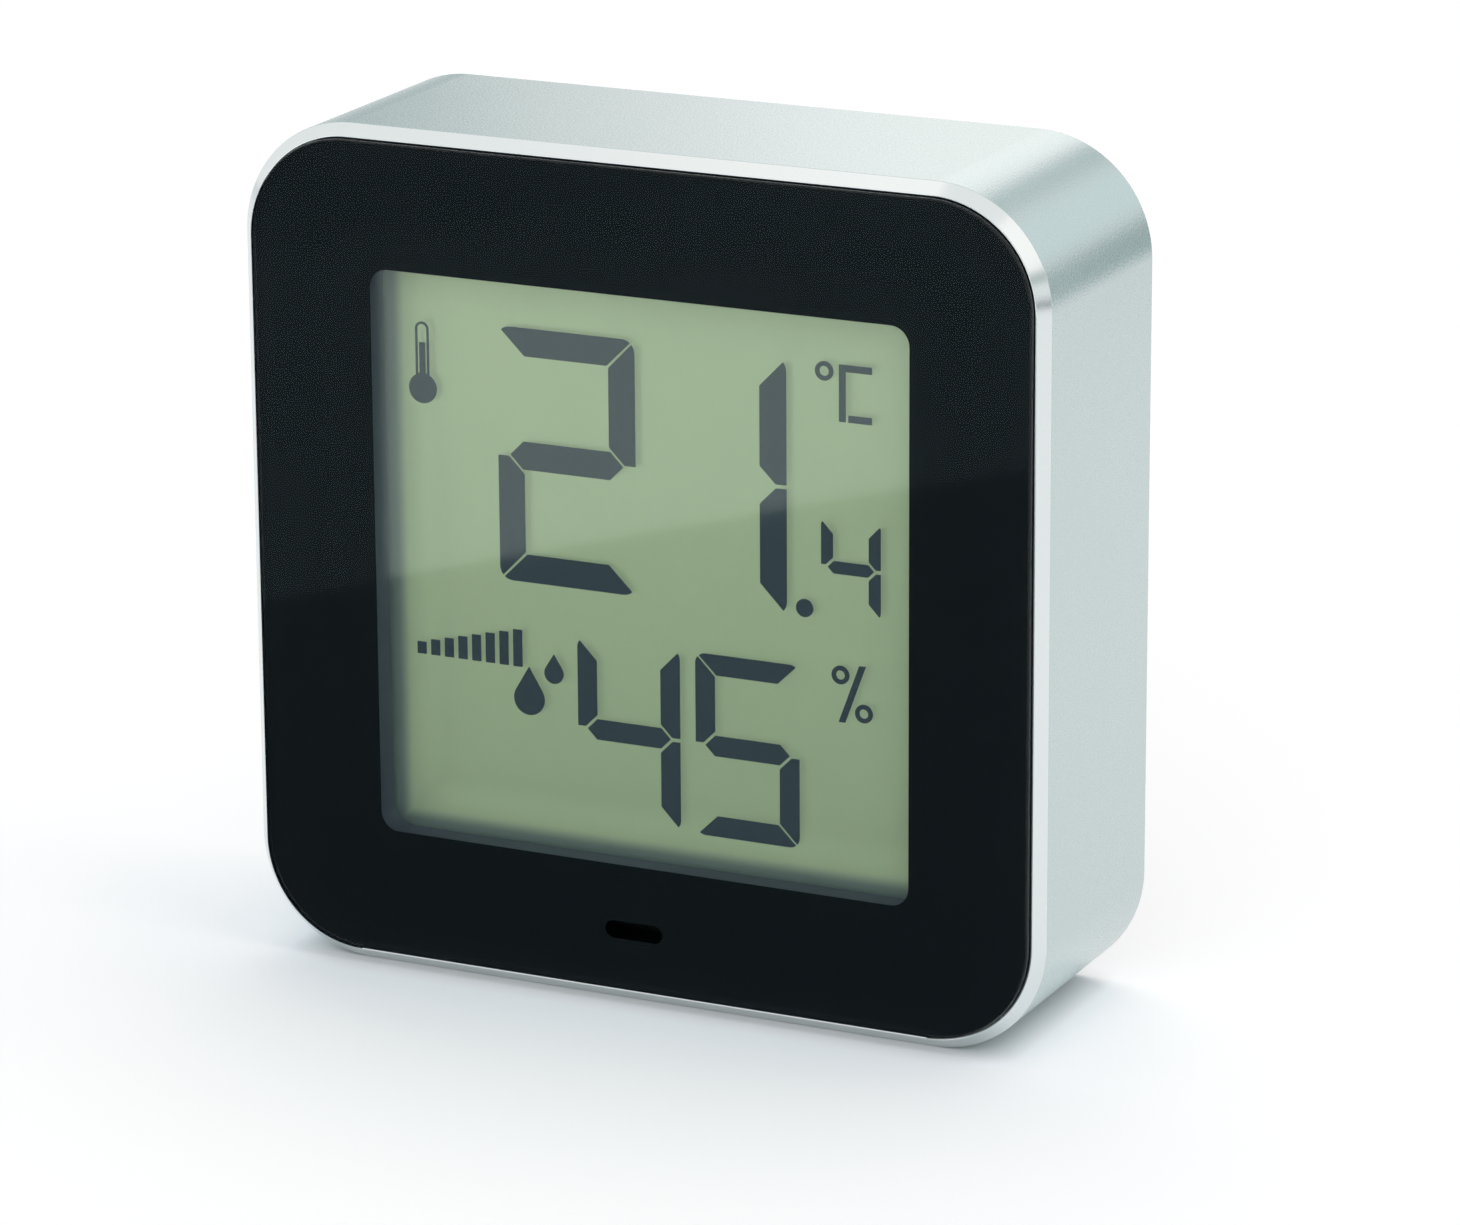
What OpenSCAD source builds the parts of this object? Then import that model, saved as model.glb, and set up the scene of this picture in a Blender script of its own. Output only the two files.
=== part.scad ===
// Square room thermometer and hygrometer: a rounded aluminium band round a dark
// glossy face with a liquid-crystal window, a screwed rear cover, one battery
// behind a hinged door, and a push key that changes the unit shown.
// X points right, Y points back, Z points up, and the origin is under the middle of the base.

/* [Case] */
// Width across the band
case_w = 70; // [63:0.5:84]
// Height of the band
case_h = 70; // [63:0.5:84]
// Outer corner radius of the band
corner_r = 9.7; // [9:0.1:12]
// Slip fit between parts that are put into each other
slip = 0.1; // [0.05:0.01:0.15]
// Running clearance of pins and plungers
running = 0.05; // [0.02:0.01:0.08]

/* [Band] */
// Wall of the band
band_wall = 1; // [0.95:0.05:1.3]
// Width of the bevel round the front edge
bevel = 0.9; // [0.4:0.05:0.9]
// How far the inner ledge stands in from the wall
ledge_in = 1; // [0.8:0.1:1.4]
// Thickness of the inner ledge
ledge_t = 1.2; // [0.8:0.1:2]
// How far the rear cover lies behind the rear rim
rim_recess = 0.5; // [0.4:0.05:1]

/* [Lens] */
// Thickness of the lens
lens_t = 0.7; // [0.6:0.1:1.2]
// How far the lens stands proud of the band
lens_proud = 0.6; // [0.2:0.1:0.8]
// Thickness of the dark print on the back of the lens
print_t = 0.1; // [0.05:0.05:0.2]
// Thickness of the tape behind the print
tape_t = 0.2; // [0.1:0.05:0.4]
// Inset of the tape from the edges of the print
tape_inset = 0.6; // [0.3:0.1:1]
// Width of the window in the print
window_w = 47; // [46:0.5:48]
// Height of the window in the print
window_h = 47; // [46:0.5:48]
// Corner radius of the window
window_r = 1.6; // [1:0.1:4]
// Width of the sensor slot
slot_w = 5.1; // [4:0.1:7]
// Height of the sensor slot
slot_h = 1.5; // [1.2:0.1:2.6]
// How far the slot lies below the middle of the border under the window
slot_drop = 0.3; // [0:0.1:0.4]
// How far the slot lies to the left of the middle
slot_left = 0.6; // [0:0.1:1]

/* [Display] */
// Depth from the front of the chassis to the display
recess_d = 2.5; // [1.8:0.1:3.5]
// How far the glasses reach past the window on each side
glass_lap = 2.5; // [1.8:0.1:2.6]
// Thickness of one glass
glass_t = 0.5; // [0.4:0.1:1.1]
// Bare strip along the top of the front glass that carries the contacts
contact_strip = 3.2; // [2.8:0.1:3.6]
// Thickness of the front polariser
polariser_t = 0.2; // [0.1:0.05:0.3]
// Inset of the films from the edges of the glass
film_inset = 1; // [0.5:0.1:1.2]
// Gap between the glasses
cell_gap = 0.1; // [0.05:0.05:0.2]
// Width of the seal round the gap
seal_w = 0.8; // [0.6:0.1:1.2]
// Thickness of the rear polariser and reflector
reflector_t = 0.2; // [0.1:0.05:0.4]
// Thickness of the pressed foam pad
pad_t = 0.5; // [0.3:0.1:1.5]
// Width of the conductive rubber strip
zebra_w = 2.4; // [1.5:0.1:2.8]

/* [Figures] */
// Width of a large figure
large_w = 12.2; // [10:0.1:12.4]
// Height of a large figure
large_h = 21; // [16:0.5:21]
// Stroke of a large figure
large_stroke = 2.3; // [1.5:0.1:2.6]
// Width of a middle figure
middle_w = 9.1; // [7:0.1:9.4]
// Height of a middle figure
middle_h = 15.2; // [12:0.1:15.4]
// Stroke of a middle figure
middle_stroke = 1.7; // [1:0.1:2]
// Width of the small figure
small_w = 5.1; // [4:0.1:5.4]
// Height of the small figure
small_h = 7.7; // [6:0.1:8.5]
// Stroke of the small figure
small_stroke = 1; // [0.6:0.1:1.2]
// Gap between two strokes of a figure
stroke_gap = 0.24; // [0.1:0.02:0.3]

/* [Chassis] */
// Thickness of the flange that rests on the ledge
flange_t = 1.6; // [1:0.1:2]
// How far the chassis stands back from the edge of the window
window_step = 0.3; // [0.1:0.1:0.6]
// Radius of a screw post
post_r = 3; // [2.4:0.1:3.2]
// Distance from the outside of the band to the middle of a post
post_inset = 7; // [6.8:0.1:7.4]

/* [Board] */
// Thickness of the circuit board
board_t = 1.2; // [0.8:0.1:1.6]
// How far the board's edge lies inside the chassis
board_inset = 0.4; // [0.3:0.1:0.6]
// Room between a post and the board
post_room = 0.3; // [0.2:0.1:0.6]
// Room between the board and the battery well
board_room = 1.5; // [0.2:0.1:4]
// Width of the tact switch
tact_w = 6; // [5:0.5:6.5]
// Height of the tact switch
tact_h = 3.5; // [3:0.1:5]
// Radius of its plunger
plunger_r = 1.75; // [1.2:0.05:2]
// How far the plunger stands out
plunger_l = 1.2; // [1:0.1:2]

/* [Battery] */
// Radius of the cell
cell_r = 5.25; // [4:0.05:7.25]
// Length of the cell with its button
cell_l = 44.5; // [30:0.1:46]
// Radius of the button of the cell
nub_r = 1.9; // [1.2:0.1:2.5]
// Length of the button of the cell
nub_l = 1; // [0.8:0.1:1.5]
// Height of the middle of the cell above the base
cell_z = 19.4; // [19:0.1:24]
// Slope at the ends of the cell
cell_shoulder = 0.4; // [0.2:0.05:0.6]
// Play between the cell and the well's floor or the door
cell_play = 0.1; // [0.05:0.05:0.3]
// Play between the cell and the long walls of the well
side_play = 0.75; // [0.3:0.05:1]
// Wall of the battery well
well_wall = 1; // [0.8:0.1:1.4]
// Thickness of a contact plate
contact_t = 0.4; // [0.2:0.05:0.6]
// Width of a contact plate
contact_w = 8; // [6:0.1:9]
// Width of a contact's tail
tail_w = 2; // [1.5:0.1:3]
// Length of the spring as fitted
spring_l = 6.7; // [6:0.1:8]
// Middle radius of the spring at its plate
spring_r = 3.5; // [3.2:0.1:3.6]
// Middle radius of the spring at the cell
spring_tip_r = 2.5; // [2.2:0.1:3]
// Radius of the spring wire
wire_r = 0.3; // [0.2:0.05:0.35]
// Play at the ends of the spring
spring_play = 0.025; // [0.02:0.005:0.05]
// Turns of the spring
spring_turns = 4.5; // [3.5:0.5:4.5]

/* [Rear cover] */
// Thickness of the rear cover
cover_t = 1.8; // [1.7:0.1:2.2]
// Width of the skirt behind the cover
skirt_w = 1.2; // [0.8:0.1:1.2]
// Depth of the skirt
skirt_d = 2; // [1:0.1:3]
// Radius of the keyhole's entry
keyhole_r = 4; // [3.5:0.1:4.5]
// Radius of the keyhole's slot
keyhole_slot_r = 2; // [1.5:0.1:2]
// Height of the keyhole's slot above its entry
keyhole_rise = 6; // [5:0.1:7]
// Distance from the top of the case down to the keyhole's entry
keyhole_drop = 16; // [14:0.5:18]
// Count of the vents
vents = 7; // [3:1:9]
// Distance between two vents
vent_pitch = 4.4; // [4:0.1:5]
// Width of a vent
vent_w = 1.6; // [1:0.1:2]
// Height of a vent
vent_h = 5; // [4:0.1:5.4]
// Height of the middle of the vents above the base
vent_z = 6.4; // [6.2:0.1:6.6]

/* [Door] */
// Thickness of the door
door_t = 1.4; // [1.2:0.1:1.4]
// How far the door laps over the edge of the well
door_lap = 1.5; // [1.3:0.1:1.8]
// Radius of a hinge pin
pin_r = 0.4; // [0.3:0.05:0.45]
// Length of a hinge pin
pin_l = 0.8; // [0.6:0.1:1.2]
// Width of the latch tab and of the nail notch above it
latch_w = 9; // [6:0.5:12]
// How far the latch tab stands out
latch_l = 0.9; // [0.6:0.1:1.2]
// Height of the nail notch
notch_h = 3; // [2.4:0.1:4]
// Depth of the nail notch
notch_d = 1; // [0.6:0.1:1.2]
// Count of the grip ribs
ribs = 5; // [3:1:6]
// Height of a grip rib
rib_h = 0.25; // [0.15:0.05:0.35]
// Width of a grip rib
rib_w = 0.7; // [0.5:0.1:1]
// Distance between two grip ribs
rib_pitch = 1.5; // [1.2:0.1:1.8]
// Distance from the upper edge of the door to the first rib
rib_drop = 1.2; // [0.8:0.1:2]

/* [Key] */
// Radius of the key
key_r = 3; // [2.5:0.1:3.5]
// How far the key stands out of the cover
key_proud = 0.35; // [0.2:0.05:0.4]
// Travel of the key
key_travel = 0.4; // [0.2:0.05:0.5]
// Height of the key above the middle of the case
key_rise = 3; // [1:0.5:5]
// Radius of the key's stem
key_stem_r = 1.6; // [1.2:0.1:2]
// Radius of the dish in the key
key_dish_r = 12; // [8:0.5:20]
// Depth of the dish in the key
key_dish_d = 0.2; // [0.1:0.05:0.3]
// How far the key's collar stands out
key_collar = 0.8; // [0.5:0.1:1]
// Thickness of the collar and of the guide round it
key_collar_t = 0.8; // [0.6:0.1:1.2]
// Length of the guide
key_guide_l = 3; // [2:0.1:5]

/* [Screws] */
// Radius of the rear screws
rear_screw_r = 1; // [0.8:0.05:1.1]
// Length of the rear screws under the head
rear_screw_l = 8; // [6:0.5:10]
// Radius of the head of a rear screw
rear_head_r = 1.9; // [1.6:0.1:2]
// Height of the head of a rear screw
rear_head_h = 0.9; // [0.7:0.05:0.95]
// Radius of the board screws
board_screw_r = 0.8; // [0.6:0.05:0.9]
// Length of the board screws under the head
board_screw_l = 3.7; // [3:0.1:4]
// Radius of the head of a board screw
board_head_r = 1.4; // [1.2:0.1:1.5]
// Height of the head of a board screw
board_head_h = 0.8; // [0.6:0.1:1]

/* [Hidden] */
$fn = 48;

// The depth of the case is the sum of what it holds from the lens to the rear rim
case_d = lens_t + print_t + tape_t + recess_d + polariser_t + 2 * glass_t + cell_gap + reflector_t
    + pad_t + board_t + board_room + well_wall + 2 * cell_play + 2 * cell_r + door_t + rim_recess;
mid_z = case_h / 2;
key_z = mid_z + key_rise;
keyhole_z = case_h - keyhole_drop;

// How far a cut runs past the faces that it opens
over = 1;

// Layers from the front
y_face = -case_d / 2;
y_band = y_face + lens_proud;
y_print = y_face + lens_t;
y_tape = y_print + print_t;
y_chassis = y_tape + tape_t;
y_ledge = y_chassis + flange_t;
y_display = y_chassis + recess_d;
y_front_glass = y_display + polariser_t;
y_cell_gap = y_front_glass + glass_t;
y_rear_glass = y_cell_gap + cell_gap;
y_reflector = y_rear_glass + glass_t;
y_pad = y_reflector + reflector_t;
y_board = y_pad + pad_t;
y_board_back = y_board + board_t;

// Layers from the back
y_rim = case_d / 2;
y_cover = y_rim - rim_recess;
y_cover_in = y_cover - cover_t;
y_door_in = y_cover - door_t;
cell_y = y_door_in - cell_play - cell_r;
y_well = cell_y - cell_r - cell_play;

// Outlines that sit in each other
seat_w = case_w - 2 * (band_wall + slip);
seat_h = case_h - 2 * (band_wall + slip);
seat_r = corner_r - band_wall - slip;
chassis_w = seat_w - 2 * ledge_in;
chassis_h = seat_h - 2 * ledge_in;
chassis_r = seat_r - ledge_in;
glass_w = window_w + 2 * glass_lap;
glass_h = window_h + 2 * glass_lap;
glass_low_z = mid_z - glass_h / 2;
pocket_w = glass_w + 2 * slip;
pocket_h = glass_h + contact_strip + 2 * slip;
board_w = chassis_w - 2 * board_inset;
board_h = chassis_h - 2 * board_inset;

// Sensors on the front of the board, and the duct from the slot to them
slot_z = (2 * case_h - seat_h - window_h) / 4 - slot_drop;
slot_place = [-slot_left, slot_z];
humidity_size = [2, 0.8, 2];
humidity_x = -1.6 - slot_left;
membrane_r = 0.6;
membrane_d = 0.3;
bead_r = 0.75;
bead_out = 1.6;
bead_x = 2 - slot_left;
bead_lead_r = 0.15;
sensor_room = 0.6;
duct_w = slot_w + 4 * sensor_room;
duct_h = humidity_size[2] + 2 * sensor_room;

// Parts on the back of the board, from its middle
chip_place = [-16, 11];
chip_r = 5;
chip_rise = 1.5;
crystal_place = [-24, -1];
crystal_r = 1;
crystal_l = 6;
crystal_lead = 0.3;
crystal_lead_l = 1.5;
small_part = [1.6, 0.6, 0.8];
small_part_left = 10;
small_part_pitch = 3;
small_part_columns = 5;
small_part_rows = [-1, 23];
tact_foot = [0.7, 0.3, 0.7];
tact_foot_rise = 2.1;

// Screw places
post_places = [
    for (sx = [-1, 1], sz = [-1, 1])
        [sx * (case_w / 2 - post_inset), mid_z + sz * (case_h / 2 - post_inset)]
];
rail_x = (pocket_w + chassis_w) / 4;
board_screw_rise = [-3, 17];
board_screw_places = [for (sx = [-1, 1], rise = board_screw_rise) [sx * rail_x, mid_z + rise]];

// Battery well and door
well_l = cell_l + spring_l + 2 * contact_t;
well_h = 2 * (cell_r + side_play);
cell_plus_x = well_l / 2 - contact_t;
cell_minus_x = cell_plus_x - cell_l;
door_w = well_l + 2 * door_lap;
door_low_z = cell_z - well_h / 2 - door_lap;
door_top_z = cell_z + well_h / 2 + door_lap;
hinge_y = y_cover - door_t / 2;
hinge_z = door_low_z + door_t / 2;

// Cross in the head of a screw, as shares of the head's radius and height
cross_l = 1.3;
cross_w = 0.28;
cross_d = 0.45;

// Counterbores of the rear cover
counterbore_d = rear_head_h + slip;
y_rear_head = y_cover - counterbore_d;

// Middle of the whole picture, from the middle of the window
picture_place = [0.3, 0.2];
// Middles of the figures and signs, from the middle of the picture
large_places = [[-8.2, 8.3], [5, 8.3]];
large_values = [2, 1];
small_place = [16.65, 2.3];
small_value = 4;
middle_places = [[-2.9, -13.8], [7.6, -13.8]];
middle_values = [4, 5];
point_place = [12.65, -1.35];
point_r = 0.74;
unit_place = [17.05, 16.46];
unit_size = [2.8, 4.6];
unit_stroke = 0.56;
degree_place = [14.38, 18.1];
degree_r = 0.78;
percent_place = [16.76, -7.95];
percent_size = [3.55, 4.8];
percent_r = 0.76;
percent_slash = 0.56;
// How far the rings of the percent sign stay inside the ends of its slash
percent_inset = 0.16;
ring_stroke = 0.37;
thermometer_place = [-21.05, 12.9];
thermometer_bulb_r = 1.24;
thermometer_stem_w = 1.2;
thermometer_top = 5.5;
thermometer_line = 0.18;
thermometer_thread = [0.52, 2.55];
// Drops: middle of the round foot, its radius, and the tip's height over it
drop_sizes = [[-11.86, -12, 1.38, 2.68], [-9.6, -9.6, 0.86, 1.6]];
// Rising bars of the level sign
level_left = -22;
level_low = -9.4;
level_bars = 8;
level_pitch = 1.25;
level_bar_w = 0.8;
level_first = 1;
level_rise = 0.3;

// Angle at which two strokes meet at a corner
mitre = 45;
// Share of a side stroke's width that its flat end at the waist takes
waist_tip = 0.4;

// Which of the strokes a to g each figure lights
stroke_table = [
    "abcdef", "bc", "abdeg", "abcdg", "bcfg", "acdfg", "acdefg", "abc", "abcdefg", "abcdfg"
];

// A flat outline in X and Z, as thick as the way from y0 to y1
module slab(y0, y1) {
    translate([0, y1, 0])
        rotate([90, 0, 0])
            linear_extrude(height = y1 - y0)
                children();
}

// A round bar along Y
module rod(place, y0, y1, r) {
    translate([place[0], y0, place[1]])
        rotate([-90, 0, 0])
            cylinder(h = y1 - y0, r = r);
}

// A box given by its two corners
module block(low, high) {
    translate(low)
        cube(high - low);
}

// Rounded rectangle about the middle of the case
module rounded(w, h, r) {
    translate([0, mid_z]) {
        square([w - 2 * r, h], center = true);
        square([w, h - 2 * r], center = true);
        for (sx = [-1, 1], sz = [-1, 1])
            translate([sx * (w / 2 - r), sz * (h / 2 - r)])
                circle(r);
    }
}

// Slot with round ends, lying along X, about the origin
module pill(w, h) {
    square([w - h, h], center = true);
    for (side = [-1, 1])
        translate([side * (w - h) / 2, 0])
            circle(h / 2);
}

// One profile taken round the case: [distance in from the outside, y]
module round_the_case(profile) {
    side_l = case_h - 2 * corner_r;
    top_l = case_w - 2 * corner_r;
    for (side = [0, 1])
        mirror([side, 0, 0])
            translate([0, 0, corner_r])
                linear_extrude(height = side_l)
                    polygon([for (p = profile) [case_w / 2 - p[0], p[1]]]);
    for (side = [0, 1])
        translate([0, 0, mid_z])
            mirror([0, 0, side])
                translate([-top_l / 2, 0, mid_z])
                    rotate([0, 90, 0])
                        linear_extrude(height = top_l)
                            polygon(profile);
    for (sx = [0, 1], sz = [0, 1])
        translate([0, 0, mid_z])
            mirror([sx, 0, 0])
                mirror([0, 0, sz])
                    translate([top_l / 2, 0, side_l / 2])
                        rotate([90, 0, 0])
                            rotate_extrude(angle = 90)
                                polygon([for (p = profile) [corner_r - p[0], -p[1]]]);
}

module frame_band() {
    inner = band_wall;
    ledge = band_wall + ledge_in;
    color("silver")
        round_the_case([
            [bevel, y_band],
            [inner, y_band],
            [inner, y_ledge],
            [ledge, y_ledge],
            [ledge, y_ledge + ledge_t],
            [inner, y_ledge + ledge_t],
            [inner, y_rim],
            [0, y_rim],
            [0, y_band + bevel]
        ]);
}

module front_lens() {
    color([0.55, 0.6, 0.62, 0.4])
        slab(y_face, y_print)
            difference() {
                rounded(seat_w, seat_h, seat_r);
                translate(slot_place)
                    pill(slot_w, slot_h);
            }
}

module mask_print() {
    color([0.07, 0.09, 0.1])
        slab(y_print, y_tape)
            difference() {
                rounded(seat_w, seat_h, seat_r);
                rounded(window_w, window_h, window_r);
                translate(slot_place)
                    pill(slot_w, slot_h);
            }
}

module lens_tape() {
    grow = 2 * tape_inset;
    color([0.16, 0.16, 0.16])
        slab(y_tape, y_chassis)
            difference() {
                rounded(seat_w - grow, seat_h - grow, seat_r - tape_inset);
                rounded(window_w + grow, window_h + grow, window_r + tape_inset);
                translate(slot_place)
                    pill(slot_w + grow, slot_h + grow);
            }
}

// Black moulding that carries the lens, the display, the board and the rear cover
module display_chassis() {
    step = 2 * window_step;
    board_pilot_end = y_board_back - board_screw_l - slip;
    rear_pilot_end = y_rear_head - rear_screw_l - slip;
    color([0.12, 0.14, 0.15])
        difference() {
            union() {
                slab(y_chassis, y_ledge)
                    rounded(seat_w, seat_h, seat_r);
                slab(y_ledge, y_board)
                    rounded(chassis_w, chassis_h, chassis_r);
                for (place = post_places)
                    rod(place, y_board, y_cover_in, post_r);
            }
            slab(y_chassis - over, y_board + over)
                rounded(window_w + step, window_h + step, window_r + window_step);
            slab(y_display, y_board + over)
                on_display(pocket_w, pocket_h, -slip);
            slab(y_chassis - over, y_board + over)
                translate(slot_place)
                    square([duct_w, duct_h], center = true);
            for (place = post_places)
                rod(place, rear_pilot_end, y_cover_in + over, rear_screw_r + running);
            for (place = board_screw_places)
                rod(place, board_pilot_end, y_board + over, board_screw_r + running);
        }
}

// A rectangle on the display, raised from the lower edge of the glasses
module on_display(w, h, rise) {
    translate([-w / 2, glass_low_z + rise])
        square([w, h]);
}

module lcd_front_polariser() {
    color([0.5, 0.55, 0.5, 0.5])
        slab(y_display, y_front_glass)
            on_display(glass_w - 2 * film_inset, glass_h - 2 * film_inset, film_inset);
}

module lcd_front_glass() {
    color([0.7, 0.78, 0.72, 0.4])
        slab(y_front_glass, y_cell_gap)
            on_display(glass_w, glass_h + contact_strip, 0);
}

module lcd_seal() {
    color([0.3, 0.32, 0.3])
        slab(y_cell_gap, y_rear_glass)
            difference() {
                on_display(glass_w, glass_h, 0);
                on_display(glass_w - 2 * seal_w, glass_h - 2 * seal_w, seal_w);
            }
}

module lcd_rear_glass() {
    color([0.7, 0.78, 0.72, 0.4])
        slab(y_rear_glass, y_reflector)
            on_display(glass_w, glass_h, 0);
}

module lcd_reflector() {
    color([0.6, 0.68, 0.55])
        slab(y_reflector, y_pad)
            on_display(glass_w - 2 * film_inset, glass_h - 2 * film_inset, film_inset);
}

module lcd_foam_pad() {
    inset = 2 * film_inset;
    color([0.85, 0.85, 0.82])
        slab(y_pad, y_board)
            on_display(glass_w - 2 * inset, glass_h - 2 * inset, inset);
}

module zebra_strip() {
    strip_l = glass_w - 4 * film_inset;
    color([0.75, 0.55, 0.6])
        slab(y_cell_gap, y_board)
            on_display(strip_l, zebra_w, glass_h + (contact_strip - zebra_w) / 2);
}

// Points of a round corner from angle a0 to a1
function bend(x, z, r, a0, a1, steps = 4) =
    [for (i = [0:steps]) let (a = a0 + (a1 - a0) * i / steps) [x + r * cos(a), z + r * sin(a)]];

// Upper level stroke of a figure, with its outer corners rounded
function level_stroke(w, h, t, gap) =
    let (x = w / 2, z = h / 2, r = t / 2, open = mitre + asin(gap / (2 * r)))
    concat(
        bend(x - r, z - r, r, open, 90),
        bend(r - x, z - r, r, 90, 180 - open),
        [[t + gap - x, z - t], [x - t - gap, z - t]]
    );

// Upper right stroke of a figure, cut back on its inner side at the waist
function side_stroke(w, h, t, gap) =
    let (x = w / 2, z = h / 2, r = t / 2, open = mitre - asin(gap / (2 * r)), tip = waist_tip * t)
    concat(
        bend(x - r, z - r, r, 0, open),
        [[x - t, z - t - gap], [x - t, t - tip + gap], [x - tip, gap], [x, gap]]
    );

// Stroke across the waist of a figure
function waist_stroke(w, t, gap) =
    let (x = w / 2 - waist_tip * t - gap, z = t / 2)
    [[x, 0], [x - z, z], [z - x, z], [-x, 0], [z - x, -z], [x - z, -z]];

// One figure of seven strokes, named a to g as on a display's data sheet
module figure(value, place, w, h, t) {
    gap = stroke_gap / sqrt(2);
    lit = stroke_table[value];
    level = level_stroke(w, h, t, gap);
    side = side_stroke(w, h, t, gap);
    sides = [["b", 0, 0], ["c", 0, 1], ["e", 1, 1], ["f", 1, 0]];
    translate(place) {
        if (len(search("a", lit)) > 0)
            polygon(level);
        if (len(search("d", lit)) > 0)
            mirror([0, 1])
                polygon(level);
        if (len(search("g", lit)) > 0)
            polygon(waist_stroke(w, t, gap));
        for (s = sides)
            if (len(search(s[0], lit)) > 0)
                mirror([s[1], 0])
                    mirror([0, s[2]])
                        polygon(side);
    }
}

module ring(place, r, stroke) {
    translate(place)
        difference() {
            circle(r);
            circle(r - stroke);
        }
}

// Degree ring and the letter, whose lower stroke stands off from its upright
module unit_sign() {
    w = unit_size[0];
    h = unit_size[1];
    ring(degree_place, degree_r, ring_stroke);
    translate(unit_place)
        difference() {
            square(unit_size, center = true);
            translate([unit_stroke, 0])
                square([w, h - 2 * unit_stroke], center = true);
            translate([unit_stroke - w / 2, -h])
                square([stroke_gap, h]);
        }
}

module percent_sign() {
    w = percent_size[0] / 2;
    h = percent_size[1] / 2;
    slash = percent_slash / 2;
    off = [w - percent_r, percent_r + percent_inset - h];
    ring(percent_place - off, percent_r, ring_stroke);
    ring(percent_place + off, percent_r, ring_stroke);
    translate(percent_place)
        polygon([[-w / 2 - slash, -h], [slash - w / 2, -h], [w / 2 + slash, h], [w / 2 - slash, h]]);
}

// Thermometer: a glass outline with its filled bulb and thread
module thermometer_sign() {
    line = thermometer_line;
    r = thermometer_bulb_r;
    w = thermometer_stem_w;
    translate(thermometer_place) {
        difference() {
            union() {
                circle(r);
                translate([-w / 2, 0])
                    square([w, thermometer_top - w / 2]);
                translate([0, thermometer_top - w / 2])
                    circle(w / 2);
            }
            translate([line - w / 2, r])
                square([w - 2 * line, thermometer_top - w / 2 - r]);
            translate([0, thermometer_top - w / 2])
                circle(w / 2 - line);
        }
        translate([-thermometer_thread[0] / 2, r])
            square(thermometer_thread);
    }
}

// A drop: a round foot drawn up to a point
module drop_sign(size) {
    r = size[2];
    tip = size[3];
    touch = asin(r / tip);
    translate([size[0], size[1]])
        polygon(concat([[0, tip]], bend(0, 0, r, 180 - touch, 360 + touch, 16)));
}

module level_sign() {
    for (i = [0:level_bars - 1])
        translate([level_left + i * level_pitch, level_low])
            square([level_bar_w, level_first + i * level_rise]);
}

module lcd_segments() {
    color([0.22, 0.27, 0.29])
        slab(y_cell_gap, y_rear_glass)
            translate(picture_place + [0, mid_z]) {
                for (i = [0, 1])
                    figure(large_values[i], large_places[i], large_w, large_h, large_stroke);
                for (i = [0, 1])
                    figure(middle_values[i], middle_places[i], middle_w, middle_h, middle_stroke);
                figure(small_value, small_place, small_w, small_h, small_stroke);
                translate(point_place)
                    circle(point_r);
                unit_sign();
                percent_sign();
                thermometer_sign();
                for (size = drop_sizes)
                    drop_sign(size);
                level_sign();
            }
}

// Circuit board with its corners cut away round the posts
module main_board() {
    corner = post_inset + post_r + post_room;
    color([0.1, 0.3, 0.2])
        difference() {
            slab(y_board, y_board_back)
                difference() {
                    translate([0, mid_z])
                        square([board_w, board_h], center = true);
                    for (sx = [0, 1], sz = [0, 1])
                        translate([0, mid_z])
                            mirror([sx, 0])
                                mirror([0, sz])
                                    translate([case_w / 2 - corner, case_h / 2 - corner])
                                        square(corner);
                }
            for (place = board_screw_places)
                rod(place, y_board - over, y_board_back + over, board_screw_r + slip);
        }
}

// Epoxy drop over the bare chip
module display_chip() {
    ball_r = (chip_r * chip_r + chip_rise * chip_rise) / (2 * chip_rise);
    edge = asin((ball_r - chip_rise) / ball_r);
    color([0.08, 0.08, 0.09])
        translate([chip_place[0], y_board_back, mid_z + chip_place[1]])
            rotate([-90, 0, 0])
                rotate_extrude()
                    polygon(concat([[0, 0]], bend(0, chip_rise - ball_r, ball_r, edge, 90, 8)));
}

// Watch crystal lying on the board, with its two leads bent down to it
module timing_crystal() {
    foot_z = mid_z + crystal_place[1];
    lead_low_z = foot_z - crystal_lead_l;
    axis_y = y_board_back + crystal_r;
    color([0.75, 0.76, 0.78]) {
        translate([crystal_place[0], axis_y, foot_z])
            cylinder(h = crystal_l, r = crystal_r);
        for (side = [-1, 1]) {
            x = crystal_place[0] + (side * crystal_r - crystal_lead) / 2;
            block([x, axis_y - crystal_lead, lead_low_z], [x + crystal_lead, axis_y, foot_z]);
            block([x, y_board_back, lead_low_z], [x + crystal_lead, axis_y, lead_low_z + crystal_lead]);
        }
    }
}

// Chip resistors and capacitors in two rows
module board_parts() {
    color([0.3, 0.22, 0.16])
        for (row = small_part_rows, i = [0:small_part_columns - 1])
            translate([small_part_left + i * small_part_pitch, y_board_back, mid_z + row])
                cube(small_part);
}

// Humidity element on the front of the board, with its round membrane
module humidity_sensor() {
    front_y = y_board - humidity_size[1];
    color([0.12, 0.12, 0.13])
        difference() {
            translate([humidity_x - humidity_size[0] / 2, front_y, slot_z - humidity_size[2] / 2])
                cube(humidity_size);
            rod([humidity_x, slot_z], front_y - over, front_y + membrane_d, membrane_r);
        }
}

// Temperature bead on two leads beside the humidity element
module thermistor() {
    color([0.2, 0.25, 0.4]) {
        translate([bead_x, y_board - bead_out, slot_z])
            sphere(bead_r);
        for (side = [-1, 1])
            rod([bead_x + side * bead_r / 2, slot_z], y_board - bead_out, y_board, bead_lead_r);
    }
}

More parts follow.
